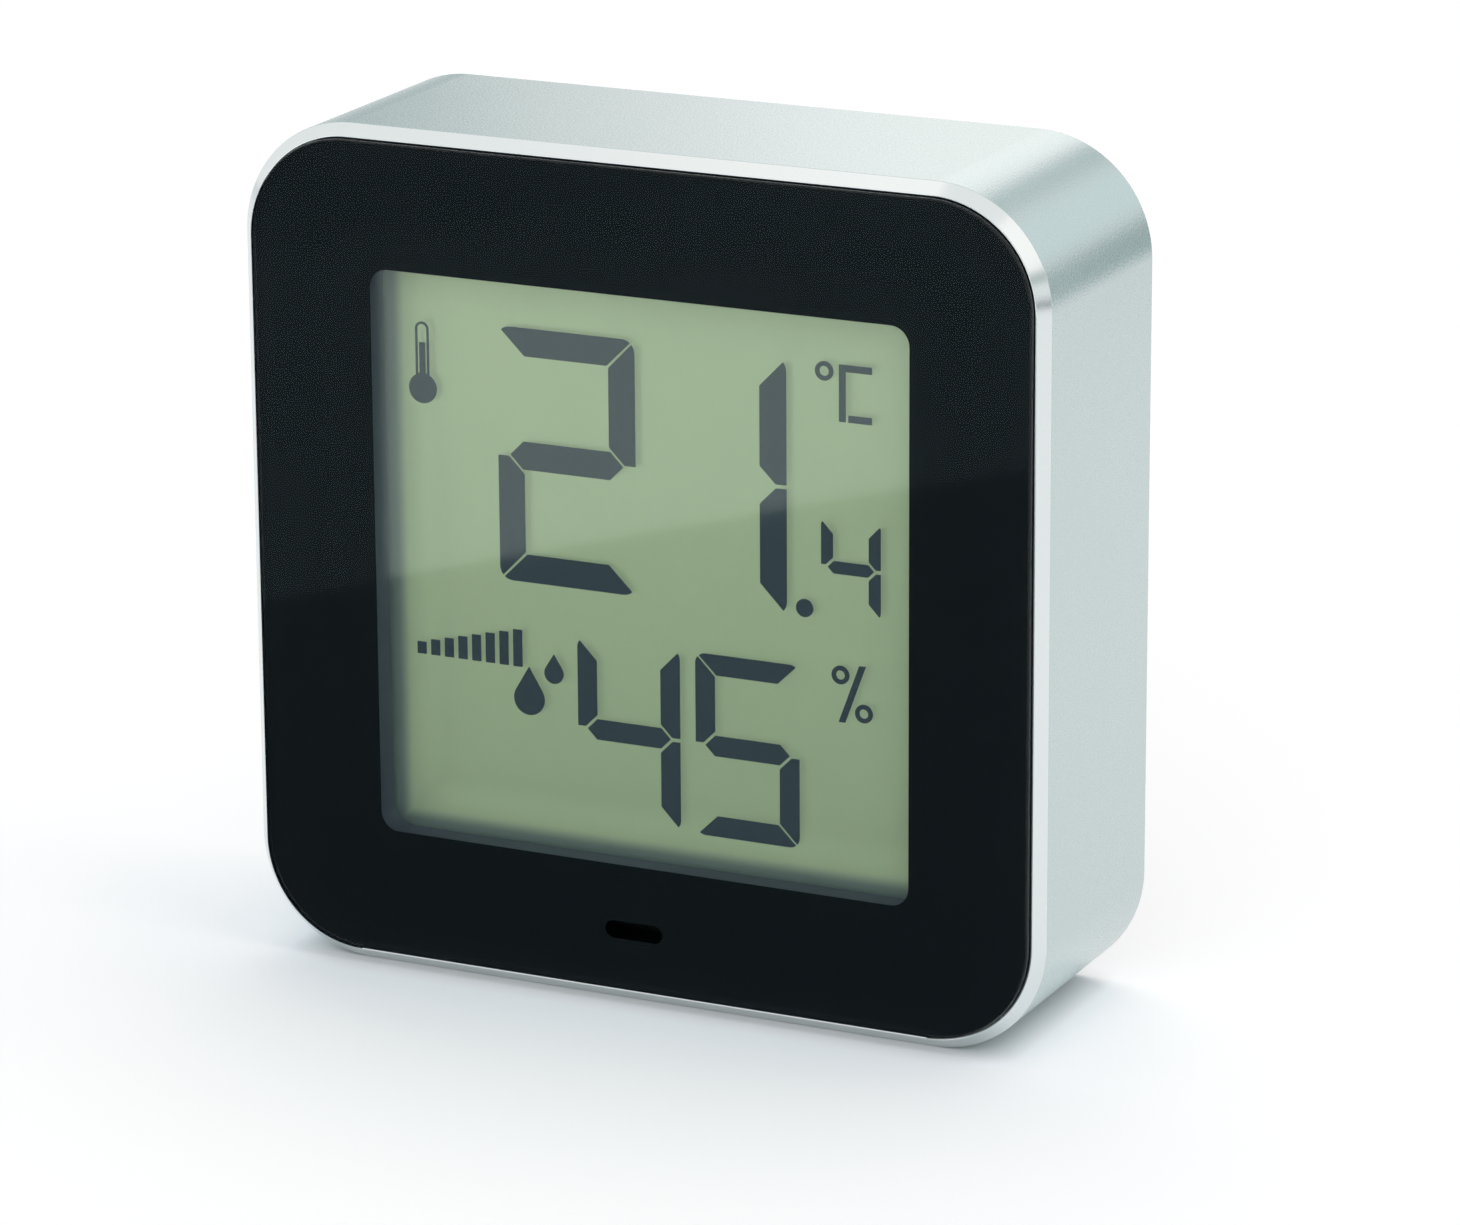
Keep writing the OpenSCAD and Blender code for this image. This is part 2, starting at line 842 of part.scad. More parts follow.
// Tact switch behind the key, with its well for the plunger and four feet
module tact_switch() {
    half = tact_w / 2;
    well_y = y_board_back + tact_h / 2;
    foot_x = half + tact_foot[0] / 2;
    foot_y = y_board_back + tact_foot[1] / 2;
    color([0.18, 0.18, 0.2]) {
        difference() {
            block([-half, y_board_back, key_z - half], [half, y_board_back + tact_h, key_z + half]);
            rod([0, key_z], well_y, y_board_back + tact_h + over, plunger_r + running);
        }
        for (sx = [-1, 1], sz = [-1, 1])
            translate([sx * foot_x, foot_y, key_z + sz * tact_foot_rise])
                cube(tact_foot, center = true);
    }
}

module tact_plunger() {
    sunk = tact_h / 2 - key_travel - slip;
    color([0.1, 0.1, 0.1])
        rod([0, key_z], y_board_back + tact_h - sunk, y_board_back + tact_h + plunger_l, plunger_r);
}

// A screw along Y with its tip towards the front and a cross in its head
module screw(place, y_head, r, l, head_r, head_h) {
    cross = [head_r * cross_l, 2 * head_h * cross_d, head_r * cross_w];
    difference() {
        union() {
            rod(place, y_head - l, y_head, r);
            rod(place, y_head, y_head + head_h, head_r);
        }
        for (turn = [0, 90])
            translate([place[0], y_head + head_h, place[1]])
                rotate([0, turn, 0])
                    cube(cross, center = true);
    }
}

module board_screws() {
    color([0.7, 0.7, 0.68])
        for (place = board_screw_places)
            screw(place, y_board_back, board_screw_r, board_screw_l, board_head_r, board_head_h);
}

module rear_screws() {
    color([0.35, 0.35, 0.36])
        for (place = post_places)
            screw(place, y_rear_head, rear_screw_r, rear_screw_l, rear_head_r, rear_head_h);
}

// The cell lies along X with its button to the right
module battery_cell() {
    body_l = cell_l - nub_l;
    color([0.35, 0.37, 0.4])
        translate([cell_minus_x, cell_y, cell_z])
            rotate([0, 90, 0])
                rotate_extrude()
                    polygon([
                        [0, 0],
                        [cell_r - cell_shoulder, 0],
                        [cell_r, cell_shoulder],
                        [cell_r, body_l - cell_shoulder],
                        [cell_r - cell_shoulder, body_l],
                        [nub_r, body_l],
                        [nub_r, cell_l],
                        [0, cell_l]
                    ]);
}

// Middle line of the spring: a helix that narrows towards the cell
spring_x0 = -well_l / 2 + contact_t + wire_r + spring_play;
spring_x1 = cell_minus_x - wire_r - spring_play;
rings_per_turn = 8;
wire_sides = 6;
spring_rings = rings_per_turn * spring_turns;
function spring_point(i) =
    let (u = i / spring_rings, r = spring_r + (spring_tip_r - spring_r) * u, a = 360 * spring_turns * u)
    [spring_x0 + (spring_x1 - spring_x0) * u, cell_y + r * cos(a), cell_z + r * sin(a)];
function spring_ahead(i) =
    let (d = spring_point(i + 0.1) - spring_point(i - 0.1))
    d / norm(d);
function spring_ring(i) =
    let (
        p = spring_point(i),
        ahead = spring_ahead(i),
        out = (p - [p[0], cell_y, cell_z]) / norm(p - [p[0], cell_y, cell_z]),
        flat = out - ahead * (out * ahead),
        u = flat / norm(flat),
        v = cross(ahead, u)
    )
    [for (k = [0:wire_sides - 1]) let (a = 360 * k / wire_sides) p + wire_r * (u * cos(a) + v * sin(a))];
// Least gap of the wire to itself, between rings most of a turn apart
turn_apart = rings_per_turn - 2;
spring_gap = min([
    for (i = [0:spring_rings - turn_apart], j = [i + turn_apart:spring_rings])
        norm(spring_point(i) - spring_point(j)) - 2 * wire_r
]);
echo(spring_gap = spring_gap);

// One unbroken wire swept along the helix
module battery_spring() {
    sides = wire_sides;
    points = [for (i = [0:spring_rings]) each spring_ring(i)];
    walls = [
        for (i = [0:spring_rings - 1], k = [0:sides - 1])
            let (a = i * sides + k, b = i * sides + (k + 1) % sides)
            each [[a, b + sides, b], [a, a + sides, b + sides]]
    ];
    last = spring_rings * sides;
    ends = [
        for (k = [1:sides - 2])
            each [[0, k, k + 1], [last, last + k + 1, last + k]]
    ];
    color([0.78, 0.78, 0.76])
        polyhedron(points = points, faces = concat(walls, ends));
}

// A contact plate against the end wall of the well, with a tail to the board
module contact_plate() {
    half = contact_w / 2;
    x = well_l / 2;
    block([x - contact_t, cell_y - half, cell_z - half], [x, cell_y + half, cell_z + half]);
    block([x - contact_t, y_board_back, cell_z - tail_w / 2], [x, cell_y - half, cell_z + tail_w / 2]);
}

module positive_contact() {
    color([0.8, 0.78, 0.72])
        contact_plate();
}

module negative_contact() {
    color([0.8, 0.78, 0.72])
        mirror([1, 0, 0])
            contact_plate();
}

// Back shell: plate, skirt and battery well in one moulding
module rear_cover() {
    recess_w = door_w + 2 * slip;
    guide_r = key_r + key_collar + slip;
    color([0.13, 0.14, 0.15])
        difference() {
            union() {
                slab(y_cover_in, y_cover)
                    rounded(seat_w, seat_h, seat_r);
                slab(y_cover_in - skirt_d, y_cover_in)
                    difference() {
                        rounded(seat_w, seat_h, seat_r);
                        rounded(seat_w - 2 * skirt_w, seat_h - 2 * skirt_w, seat_r - skirt_w);
                    }
                slab(y_well - well_wall, y_cover_in)
                    translate([0, cell_z])
                        square([well_l + 2 * well_wall, well_h + 2 * well_wall], center = true);
                rod([0, key_z], y_cover_in - key_guide_l, y_cover_in, guide_r + key_collar_t);
            }
            slab(y_well, y_cover + over)
                translate([0, cell_z])
                    square([well_l, well_h], center = true);
            slab(y_door_in - slip, y_cover + over)
                translate([-recess_w / 2, door_low_z - slip])
                    square([recess_w, door_top_z - door_low_z + 2 * slip]);
            slab(y_cover - notch_d - slip, y_cover + over)
                translate([-latch_w / 2 - slip, door_top_z])
                    square([latch_w + 2 * slip, notch_h]);
            translate([-door_w / 2 - pin_l - slip, hinge_y, hinge_z])
                rotate([0, 90, 0])
                    cylinder(h = door_w + 2 * pin_l + 2 * slip, r = pin_r + running);
            for (side = [0, 1])
                mirror([side, 0, 0])
                    block(
                        [well_l / 2 - contact_t - slip, y_well - 2 * well_wall, cell_z - tail_w / 2 - slip],
                        [well_l / 2, y_well + slip, cell_z + tail_w / 2 + slip]
                    );
            for (place = post_places) {
                rod(place, y_cover_in - over, y_cover + over, rear_screw_r + slip);
                rod(place, y_rear_head, y_cover + over, rear_head_r + slip);
            }
            rod([0, key_z], y_cover_in - over, y_cover + over, key_r + running);
            rod([0, key_z], y_cover_in - key_guide_l - over, y_cover_in, guide_r);
            keyhole();
            slab(y_cover_in - over, y_cover + over)
                for (i = [0:vents - 1])
                    translate([(i - (vents - 1) / 2) * vent_pitch, vent_z])
                        rotate(90)
                            pill(vent_h, vent_w);
        }
}

// Hole for a wall screw: the head goes in below and hangs in the slot above
module keyhole() {
    slot_top = [0, keyhole_z + keyhole_rise];
    rod([0, keyhole_z], y_cover_in - over, y_cover + over, keyhole_r);
    rod(slot_top, y_cover_in - over, y_cover + over, keyhole_slot_r);
    slab(y_cover_in - over, y_cover + over)
        translate([-keyhole_slot_r, keyhole_z])
            square([2 * keyhole_slot_r, keyhole_rise]);
}

// Key cap with its collar behind the cover and its stem on the plunger
module unit_button() {
    collar_y = y_cover_in - slip;
    color([0.16, 0.17, 0.18])
        difference() {
            union() {
                rod([0, key_z], collar_y, y_cover + key_proud, key_r);
                rod([0, key_z], collar_y - key_collar_t, collar_y, key_r + key_collar);
                rod([0, key_z], y_board_back + tact_h + plunger_l, collar_y - key_collar_t, key_stem_r);
            }
            translate([0, y_cover + key_proud + key_dish_r - key_dish_d, key_z])
                sphere(key_dish_r);
        }
}

// Door with a round hinge edge, two pins, a latch tab and grip ribs
module battery_door() {
    r = door_t / 2;
    rib_top_z = door_top_z - rib_drop;
    color([0.13, 0.14, 0.15]) {
        block([-door_w / 2, y_door_in, hinge_z], [door_w / 2, y_cover, door_top_z]);
        translate([-door_w / 2, hinge_y, hinge_z])
            rotate([0, 90, 0])
                cylinder(h = door_w, r = r);
        translate([-door_w / 2 - pin_l, hinge_y, hinge_z])
            rotate([0, 90, 0])
                cylinder(h = door_w + 2 * pin_l, r = pin_r);
        block([-latch_w / 2, y_cover - notch_d, door_top_z], [latch_w / 2, y_cover, door_top_z + latch_l]);
        for (i = [0:ribs - 1])
            block(
                [-latch_w / 2, y_cover, rib_top_z - i * rib_pitch - rib_w],
                [latch_w / 2, y_cover + rib_h, rib_top_z - i * rib_pitch]
            );
    }
}

frame_band();
front_lens();
mask_print();
lens_tape();
display_chassis();
lcd_front_polariser();
lcd_front_glass();
lcd_seal();
lcd_segments();
lcd_rear_glass();
lcd_reflector();
lcd_foam_pad();
zebra_strip();
main_board();
display_chip();
timing_crystal();
board_parts();
humidity_sensor();
thermistor();
tact_switch();
tact_plunger();
board_screws();
battery_cell();
battery_spring();
negative_contact();
positive_contact();
rear_cover();
rear_screws();
unit_button();
battery_door();
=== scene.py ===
"""A square room thermometer and hygrometer, dressed piece by piece in the order it is put together."""

import math

import bmesh
import bpy
from mathutils import Euler, Matrix, Vector


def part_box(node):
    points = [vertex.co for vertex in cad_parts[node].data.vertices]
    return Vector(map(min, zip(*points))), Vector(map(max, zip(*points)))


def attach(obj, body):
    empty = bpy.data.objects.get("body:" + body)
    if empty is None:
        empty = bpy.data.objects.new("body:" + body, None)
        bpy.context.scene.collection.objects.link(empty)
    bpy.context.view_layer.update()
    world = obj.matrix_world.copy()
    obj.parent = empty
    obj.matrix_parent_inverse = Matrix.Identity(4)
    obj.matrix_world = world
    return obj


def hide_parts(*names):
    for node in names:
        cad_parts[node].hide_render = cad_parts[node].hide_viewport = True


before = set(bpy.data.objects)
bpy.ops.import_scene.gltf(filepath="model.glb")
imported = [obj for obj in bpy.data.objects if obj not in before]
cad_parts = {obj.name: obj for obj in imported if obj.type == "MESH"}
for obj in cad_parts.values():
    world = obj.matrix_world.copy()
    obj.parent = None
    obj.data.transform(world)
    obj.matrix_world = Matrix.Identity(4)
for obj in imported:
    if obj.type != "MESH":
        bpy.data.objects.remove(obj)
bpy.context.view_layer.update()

# Studio
# A white table in a white room, under a wide overhead softbox and with a soft fill from the front, as for a
# catalogue picture. Grey and white cards out of view shape what the metal and the lens mirror.
MM = 0.001
scene = bpy.context.scene
scene.view_settings.view_transform = "Standard"
scene.cycles.transparent_max_bounces = 32


def found(sockets, key):
    """The socket with that number, identifier or name."""
    if isinstance(key, int):
        return sockets[key]
    same = [each for each in sockets if each.identifier == key]
    same = same or [each for each in sockets if each.name == key]
    return same[0]


class Wire:
    """An output of a node: Python's operators on wires and numbers add Math nodes."""

    def __init__(self, paint, socket):
        self.paint = paint
        self.socket = socket

    def part(self, name):
        """Another output of the same node."""
        return Wire(self.paint, found(self.socket.node.outputs, name))

    def maths(self, operation, *values):
        return self.paint.node("ShaderNodeMath", {"operation": operation}, dict(enumerate(values)))

    def __add__(self, other):
        return self.maths("ADD", self, other)

    def __sub__(self, other):
        return self.maths("SUBTRACT", self, other)

    def __rsub__(self, other):
        return self.maths("SUBTRACT", other, self)

    def __mul__(self, other):
        return self.maths("MULTIPLY", self, other)

    def __lt__(self, other):
        return self.maths("LESS_THAN", self, other)

    def __gt__(self, other):
        return self.maths("GREATER_THAN", self, other)

    def __abs__(self):
        return self.maths("ABSOLUTE", self)

    __radd__ = __add__
    __rmul__ = __mul__


class Paint:
    """A node tree being filled: every node comes from one method, and the rest only name common uses."""

    def __init__(self, tree):
        self.tree = tree
        tree.nodes.clear()

    def node(self, kind, settings=None, sockets=None, out=0):
        """Adds a node, sets it, gives its sockets values or links, and returns one of its outputs."""
        made = self.tree.nodes.new(kind)
        for name, value in (settings or {}).items():
            setattr(made, name, value)
        for key, value in (sockets or {}).items():
            socket = found(made.inputs, key)
            if isinstance(value, Wire):
                self.tree.links.new(value.socket, socket)
            else:
                socket.default_value = value
        return Wire(self, found(made.outputs, out)) if made.outputs else made

    def place(self):
        """Where the point lies, in the object's own frame in metres."""
        return self.node("ShaderNodeTexCoord", out="Object")

    def axes(self):
        """The point's x, y and z as three wires."""
        parted = self.node("ShaderNodeSeparateXYZ", None, {0: self.place()})
        return parted, parted.part("Y"), parted.part("Z")

    def grain(self, size, detail=2.0):
        """Noise from 0 to 1 whose specks are about as wide as the size."""
        sockets = {"Vector": self.place(), "Scale": 1 / size, "Detail": detail}
        return self.node("ShaderNodeTexNoise", None, sockets, "Fac")

    def blend(self, share, first, second):
        """The first colour where the share is 0, the second where it is 1."""
        sockets = {"Factor_Float": share, "A_Color": first, "B_Color": second}
        return self.node("ShaderNodeMix", {"data_type": "RGBA"}, sockets, "Result_Color")

    def bump(self, height, strength, depth):
        return self.node("ShaderNodeBump", None, {"Height": height, "Strength": strength, "Distance": depth})

    def skin(self, sockets):
        return self.node("ShaderNodeBsdfPrincipled", None, sockets)

    def fresnel(self, index):
        return self.node("ShaderNodeFresnel", None, {"IOR": index})

    def show(self, shader):
        self.node("ShaderNodeOutputMaterial", None, {"Surface": shader})


def finish(name):
    """A new empty material and the paint that fills it."""
    material = bpy.data.materials.new(name)
    material.use_nodes = True
    return material, Paint(material.node_tree)


def rgb(red, green, blue):
    return (red, green, blue, 1)


def toned(colour, factor):
    """A colour made darker or paler by a factor."""
    return rgb(*(factor * share for share in colour[:3]))


def new_piece(name, points, faces, *materials):
    """A mesh object at the origin with the given materials."""
    mesh = bpy.data.meshes.new(name)
    mesh.from_pydata(points, [], faces)
    for material in materials:
        mesh.materials.append(material)
    piece = bpy.data.objects.new(name, mesh)
    scene.collection.objects.link(piece)
    return piece


table_albedo = rgb(0.80, 0.80, 0.80)
table_lift = 0.352
lift_tint = rgb(0.75, 0.89, 1.0)
table_reach = 4.0
contact_shade_reach = 2.5 * MM
white_room = 0.50
white = rgb(1.0, 1.0, 1.0)


def seen_directly(paint):
    """1 for rays from the eye or off metal and glass, 0 for the light that spreads from wall to wall."""
    path = paint.node("ShaderNodeLightPath", out="Is Camera Ray")
    sharp = path.maths("MAXIMUM", path.part("Is Glossy Ray"), path.part("Is Transmission Ray"))
    return path.maths("MAXIMUM", path, sharp)


def table_finish():
    material, paint = finish("white_table")
    paper = paint.node("ShaderNodeBsdfDiffuse", None, {"Color": table_albedo})
    # Painted contact shadow: the floor's lift fades where it comes within reach of the object
    outside_contact_shade = paint.node("ShaderNodeAmbientOcclusion", {"samples": 8}, {"Distance": contact_shade_reach}, "AO")
    strength = table_lift * seen_directly(paint) * outside_contact_shade
    lift = paint.node("ShaderNodeEmission", None, {"Color": lift_tint, "Strength": strength})
    paint.show(paint.node("ShaderNodeAddShader", None, {0: paper, 1: lift}))
    return material


def card_finish(name, level, tint):
    material, paint = finish(name)
    paint.show(paint.node("ShaderNodeEmission", None, {"Color": tint, "Strength": level}))
    return material


def mirror_card(name, corners, level, tint=white):
    """A card that only mirrors see: it neither lights the object nor shades it."""
    card = new_piece(name, corners, [tuple(range(len(corners)))], card_finish(name, level, tint))
    card.visible_camera = False
    card.visible_diffuse = False
    card.visible_shadow = False


square_signs = ((-1, -1), (1, -1), (1, 1), (-1, 1))
table_corners = [(sx * table_reach, sy * table_reach, 0) for sx, sy in square_signs]
table = new_piece("table", table_corners, [(0, 1, 2, 3)], table_finish())

# The lens mirrors the table in front of it: a grey card lies there, and past its slanted edge a pale sheet
card_lift = Vector((0, 0, 0.6)) * MM
grey_corners = [card_lift + Vector((x, y, 0)) * MM for x, y in ((-136.5, -14), (36, -279.3), (36, -14))]
sheet_left = card_lift + Vector((-115, -47.1, 0)) * MM
sheet_right = card_lift + Vector((10, -239.4, 0)) * MM
sheet_depth = Vector((-109, -71, 0)) * MM
sheet_corners = [sheet_left, sheet_right, sheet_right + sheet_depth, sheet_left + sheet_depth]
mirror_card("grey_card", grey_corners, level=0.22, tint=rgb(0.80, 0.95, 1.0))
mirror_card("front_sheet", sheet_corners, level=1.4)

# The bevel under the lens mirrors the table just below it, where a white strip lies
strip_half = 34 * MM
strip_front = -13 * MM
strip_back = -10.42 * MM
strip_lift = 0.02 * MM
strip_corners = [
    (-strip_half, strip_front, strip_lift),
    (strip_half, strip_front, strip_lift),
    (strip_half, strip_back, strip_lift),
    (-strip_half, strip_back, strip_lift),
]
mirror_card("white_strip", strip_corners, level=0.9)

# The band mirrors cards further off: each lies between two turns, from straight behind to the right, and two
# rises, in degrees as the object sees them
eye_height = 0.06


def far_card(name, turns, rises, level, tint=white, far_off=1.0):
    """A card with its corners that far off, in metres."""
    left, right = turns
    low, high = rises
    corners = []
    for turn, rise in ((left, low), (right, low), (right, high), (left, high)):
        way = Euler((math.radians(rise), 0, -math.radians(turn))).to_matrix() @ Vector((0, 1, 0))
        corners.append(Vector((0, 0, eye_height)) + far_off * way)
    mirror_card(name, corners, level, tint)


warm = rgb(1.0, 0.975, 0.955)
pale_teal = rgb(0.91, 1.0, 1.0)
teal = rgb(0.86, 1.0, 1.0)
deep_teal = rgb(0.8, 1.0, 1.0)
far_card("bright_card", (-25.2, -7.5), (8, 17.5), level=1.32, tint=warm)
far_card("brighter_card", (-25.2, -5.5), (17.5, 29), level=1.58, tint=warm)
far_card("bevel_card", (-135, -110), (60.5, 76), level=1.28, tint=warm)
far_card("left_card", (-60, -29), (4, 24), level=0.58, tint=teal)
far_card("upper_card", (-1, 10), (18, 36), level=0.72, tint=teal)
far_card("right_upper_card", (10, 34), (8, 24), level=1.06, tint=pale_teal)
far_card("right_lower_card", (17, 36), (-9.3, 4), level=0.48, tint=deep_teal, far_off=0.35)
far_card("front_right_white", (105, 145), (15.5, 50), level=1.25, tint=warm)
far_card("front_right_grey", (100, 135), (8, 14), level=0.5, tint=teal)
far_card("front_right_line", (100, 135), (-6.5, -3), level=0.15, tint=teal, far_off=0.4)

lamp_target = Vector((0.0, 0.0, 0.03))


def softbox(name, place, width, height, level, tint):
    """An area lamp of the given brightness that faces the object."""
    lamp = bpy.data.lights.new(name, "AREA")
    lamp.shape = "RECTANGLE"
    lamp.size = width
    lamp.size_y = height
    lamp.energy = level * math.pi * width * height
    lamp.color = tint
    box = bpy.data.objects.new(name, lamp)
    box.location = place
    box.rotation_euler = (lamp_target - Vector(place)).to_track_quat("-Z", "Y").to_euler()
    box.visible_camera = False
    box.visible_glossy = False
    scene.collection.objects.link(box)


softbox("overhead_box", (0.15, 0.26, 1.12), width=1.8, height=0.7, level=2.0, tint=(1.0, 0.85, 0.75))
softbox("fill_box", (0.30, -1.00, 0.42), width=0.9, height=0.9, level=0.95, tint=(1.0, 1.0, 1.0))

world = bpy.data.worlds.new("white_room")
scene.world = world
world.use_nodes = True
room = Paint(world.node_tree)
seen = seen_directly(room)
room_level = white_room + (1 - white_room) * seen
backdrop = room.node("ShaderNodeBackground", None, {"Color": white, "Strength": room_level})
room.node("ShaderNodeOutputWorld", None, {"Surface": backdrop})

# The picture was taken from the front right, a little above the object, with a long lens
camera_place = Vector((220.23, -452.37, 180.58)) * MM
camera_turn = math.radians(25.6255)
camera_dip = math.radians(16.6567)
camera_roll = math.radians(-0.3513)
lens_length = 160.76
sensor_width = 36.0
camera = bpy.data.objects.new("camera", bpy.data.cameras.new("camera"))
camera.data.sensor_fit = "HORIZONTAL"
camera.data.sensor_width = sensor_width
camera.data.lens = lens_length
aim = Matrix.Rotation(camera_turn, 4, "Z") @ Matrix.Rotation(math.pi / 2 - camera_dip, 4, "X")
camera.matrix_world = Matrix.Translation(camera_place) @ aim @ Matrix.Rotation(camera_roll, 4, "Z")
scene.collection.objects.link(camera)
scene.camera = camera

# Frame band
# A square tube of aluminium with round corners, bent and welded, blasted and clear anodised, and then cut
# with a bright bevel round the front edge. A ledge inside carries the chassis, and the rear rim stands free.
band_low, band_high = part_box("frame_band")
chassis_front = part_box("display_chassis")[0].y
band_corner = 9.7 * MM
band_wall = 1.0 * MM
bevel_width = 0.9 * MM
ledge_in = 1.0 * MM
ledge_set_back = 1.6 * MM
ledge_front = chassis_front + ledge_set_back
ledge_thick = 1.2 * MM
mid_height = (band_low.z + band_high.z) / 2
bevel_back = band_low.y + bevel_width
bevel_edge = 0.12 * MM
cut_margin = 0.02 * MM
satin_dark = rgb(0.487, 0.567, 0.566)
satin_pale = rgb(0.558, 0.643, 0.639)
bright_colour = rgb(0.725, 0.77, 0.77)


def band_finish():
    """Fine blasted metal that turns bright in front of the bevel's back edge."""
    material, paint = finish("blasted_aluminium")
    x, y, z = paint.axes()
    cut = y < bevel_back - cut_margin
    cloud = paint.grain(9 * MM)
    speck = paint.grain(0.22 * MM, 3.0)
    shade = paint.blend(cloud * 0.3 + speck * 0.7, satin_dark, satin_pale)
    satin = 0.225 + 0.03 * cloud + 0.06 * speck
    polish = 0.16 + 0.04 * speck
    paint.show(paint.skin({
        "Base Color": paint.blend(cut, shade, bright_colour),
        "Metallic": 1.0,
        "Roughness": satin * (1 - cut) + polish * cut,
        "Normal": paint.bump(speck * (1 - cut), 0.45, 0.03 * MM),
    }))
    return material


def rounded_outline(corners, steps=4):
    """Points (x, y, radius) of a closed outline, with every corner that has a radius made an arc."""
    outline = []
    for i, (x, y, radius) in enumerate(corners):
        here = Vector((x, y))
        if radius == 0:
            outline.append(here)
            continue
        to_last = (Vector(corners[i - 1][:2]) - here).normalized()
        to_next = (Vector(corners[(i + 1) % len(corners)][:2]) - here).normalized()
        half = to_last.angle(to_next) / 2
        centre = here + (to_last + to_next).normalized() * (radius / math.sin(half))
        start = here + to_last * (radius / math.tan(half)) - centre
        end = here + to_next * (radius / math.tan(half)) - centre
        turn = math.atan2(start.x * end.y - start.y * end.x, start.dot(end))
        for k in range(steps + 1):
            outline.append(centre + Matrix.Rotation(turn * k / steps, 2) @ start)
    return outline


def flat_curve(name, outlines):
    """A flat curve object with one closed line for each outline."""
    curve = bpy.data.curves.new(name, "CURVE")
    curve.dimensions = "2D"
    for outline in outlines:
        line = curve.splines.new("POLY")
        line.points.add(len(outline) - 1)
        for point, (x, y) in zip(line.points, outline):
            point.co = (x, y, 0, 1)
        line.use_cyclic_u = True
    holder = bpy.data.objects.new(name, curve)
    scene.collection.objects.link(holder)
    return holder


def growth(name, inputs):
    """An empty Geometry Nodes tree with named inputs, its paint and its input node."""
    tree = bpy.data.node_groups.new(name, "GeometryNodeTree")
    for label, kind in inputs.items():
        tree.interface.new_socket(label, in_out="INPUT", socket_type="NodeSocket" + kind)
    tree.interface.new_socket("Geometry", in_out="OUTPUT", socket_type="NodeSocketGeometry")
    paint = Paint(tree)
    return tree, paint, paint.node("NodeGroupInput")


def close_growth(paint, shape, material):
    """Ends a tree: real meshes in place of instances, with their material."""
    real = paint.node("GeometryNodeRealizeInstances", None, {"Geometry": shape})
    dressed = paint.node("GeometryNodeSetMaterial", None, {"Geometry": real, "Material": material})
    paint.node("NodeGroupOutput", None, {"Geometry": dressed})


def plain_mesh(source, name):
    """The evaluated shape of an object as a new mesh object; the source is removed."""
    depsgraph = bpy.context.evaluated_depsgraph_get()
    shape = source.evaluated_get(depsgraph)
    mesh = bpy.data.meshes.new_from_object(shape, preserve_all_data_layers=True, depsgraph=depsgraph)
    mesh.name = name
    bpy.data.objects.remove(source)
    piece = bpy.data.objects.new(name, mesh)
    scene.collection.objects.link(piece)
    return piece


def grown(name, tree, values, points=()):
    """Runs a tree on the given points and keeps its result as a plain mesh."""
    seed = new_piece(name + "_seed", points, [])
    modifier = seed.modifiers.new("growth", "NODES")
    modifier.node_group = tree
    for item in tree.interface.items_tree:
        if item.name in values:
            modifier[item.identifier] = values[item.name]
    return plain_mesh(seed, name)


weld_reach = 0.0005 * MM


def mend(piece):
    """Joins doubled points and turns the faces outwards."""
    shape = bmesh.new()
    shape.from_mesh(piece.data)
    bmesh.ops.remove_doubles(shape, verts=shape.verts, dist=weld_reach)
    bmesh.ops.recalc_face_normals(shape, faces=shape.faces)
    shape.to_mesh(piece.data)
    shape.free()


def smooth(piece, sharp_angle=40):
    """Smooth shading in which large faces stay flat and edges past the angle stay sharp."""
    piece.data.shade_smooth()
    piece.data.set_sharp_from_angle(angle=math.radians(sharp_angle))
    weighted = piece.modifiers.new("weighted", "WEIGHTED_NORMAL")
    weighted.keep_sharp = True
    return plain_mesh(piece, piece.name)


def band_tree():
    tree, paint, given = growth("band_round_the_case", {
        "Width": "Float",
        "Height": "Float",
        "Corner Radius": "Float",
        "Corner Steps": "Int",
        "Profile": "Object",
        "Place": "Vector",
        "Finish": "Material",
    })
    sizes = {"Width": given.part("Width"), "Height": given.part("Height")}
    square = paint.node("GeometryNodeCurvePrimitiveQuadrilateral", None, sizes)
    path = paint.node("GeometryNodeFilletCurve", {"mode": "POLY"}, {
        "Curve": square,
        "Count": given.part("Corner Steps"),
        "Radius": given.part("Corner Radius"),
    })
    section = paint.node("GeometryNodeObjectInfo", None, {"Object": given.part("Profile")}, "Geometry")
    tube = paint.node("GeometryNodeCurveToMesh", None, {"Curve": path, "Profile Curve": section})
    upright = paint.node("GeometryNodeTransform", None, {
        "Geometry": tube,
        "Translation": given.part("Place"),
        "Rotation": (math.pi / 2, 0, 0),
    })
    close_growth(paint, upright, given.part("Finish"))
    return tree


def band_profile():
    """The band's section: distance out from the path, then y."""
    inner = -band_wall
    ledge = -band_wall - ledge_in
    fine = 0.05 * MM
    rim = 0.16 * MM
    return rounded_outline([
        (-bevel_width, band_low.y, fine / 4),
        (inner, band_low.y, fine / 4),
        (inner, ledge_front, 0),
        (ledge, ledge_front, fine),
        (ledge, ledge_front + ledge_thick, fine),
        (inner, ledge_front + ledge_thick, 0),
        (inner, band_high.y, rim),
        (0, band_high.y, rim),
        (0, bevel_back, bevel_edge),
    ])


section = flat_curve("band_section", [band_profile()])
band = grown("frame_band_satin", band_tree(), {
    "Width": band_high.x - band_low.x,
    "Height": band_high.z - band_low.z,
    "Corner Radius": band_corner,
    "Corner Steps": 24,
    "Profile": section,
    "Place": (0, 0, mid_height),
    "Finish": band_finish(),
})
bpy.data.objects.remove(section)
mend(band)
band = smooth(band, sharp_angle=50)
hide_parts("frame_band")
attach(band, "case")

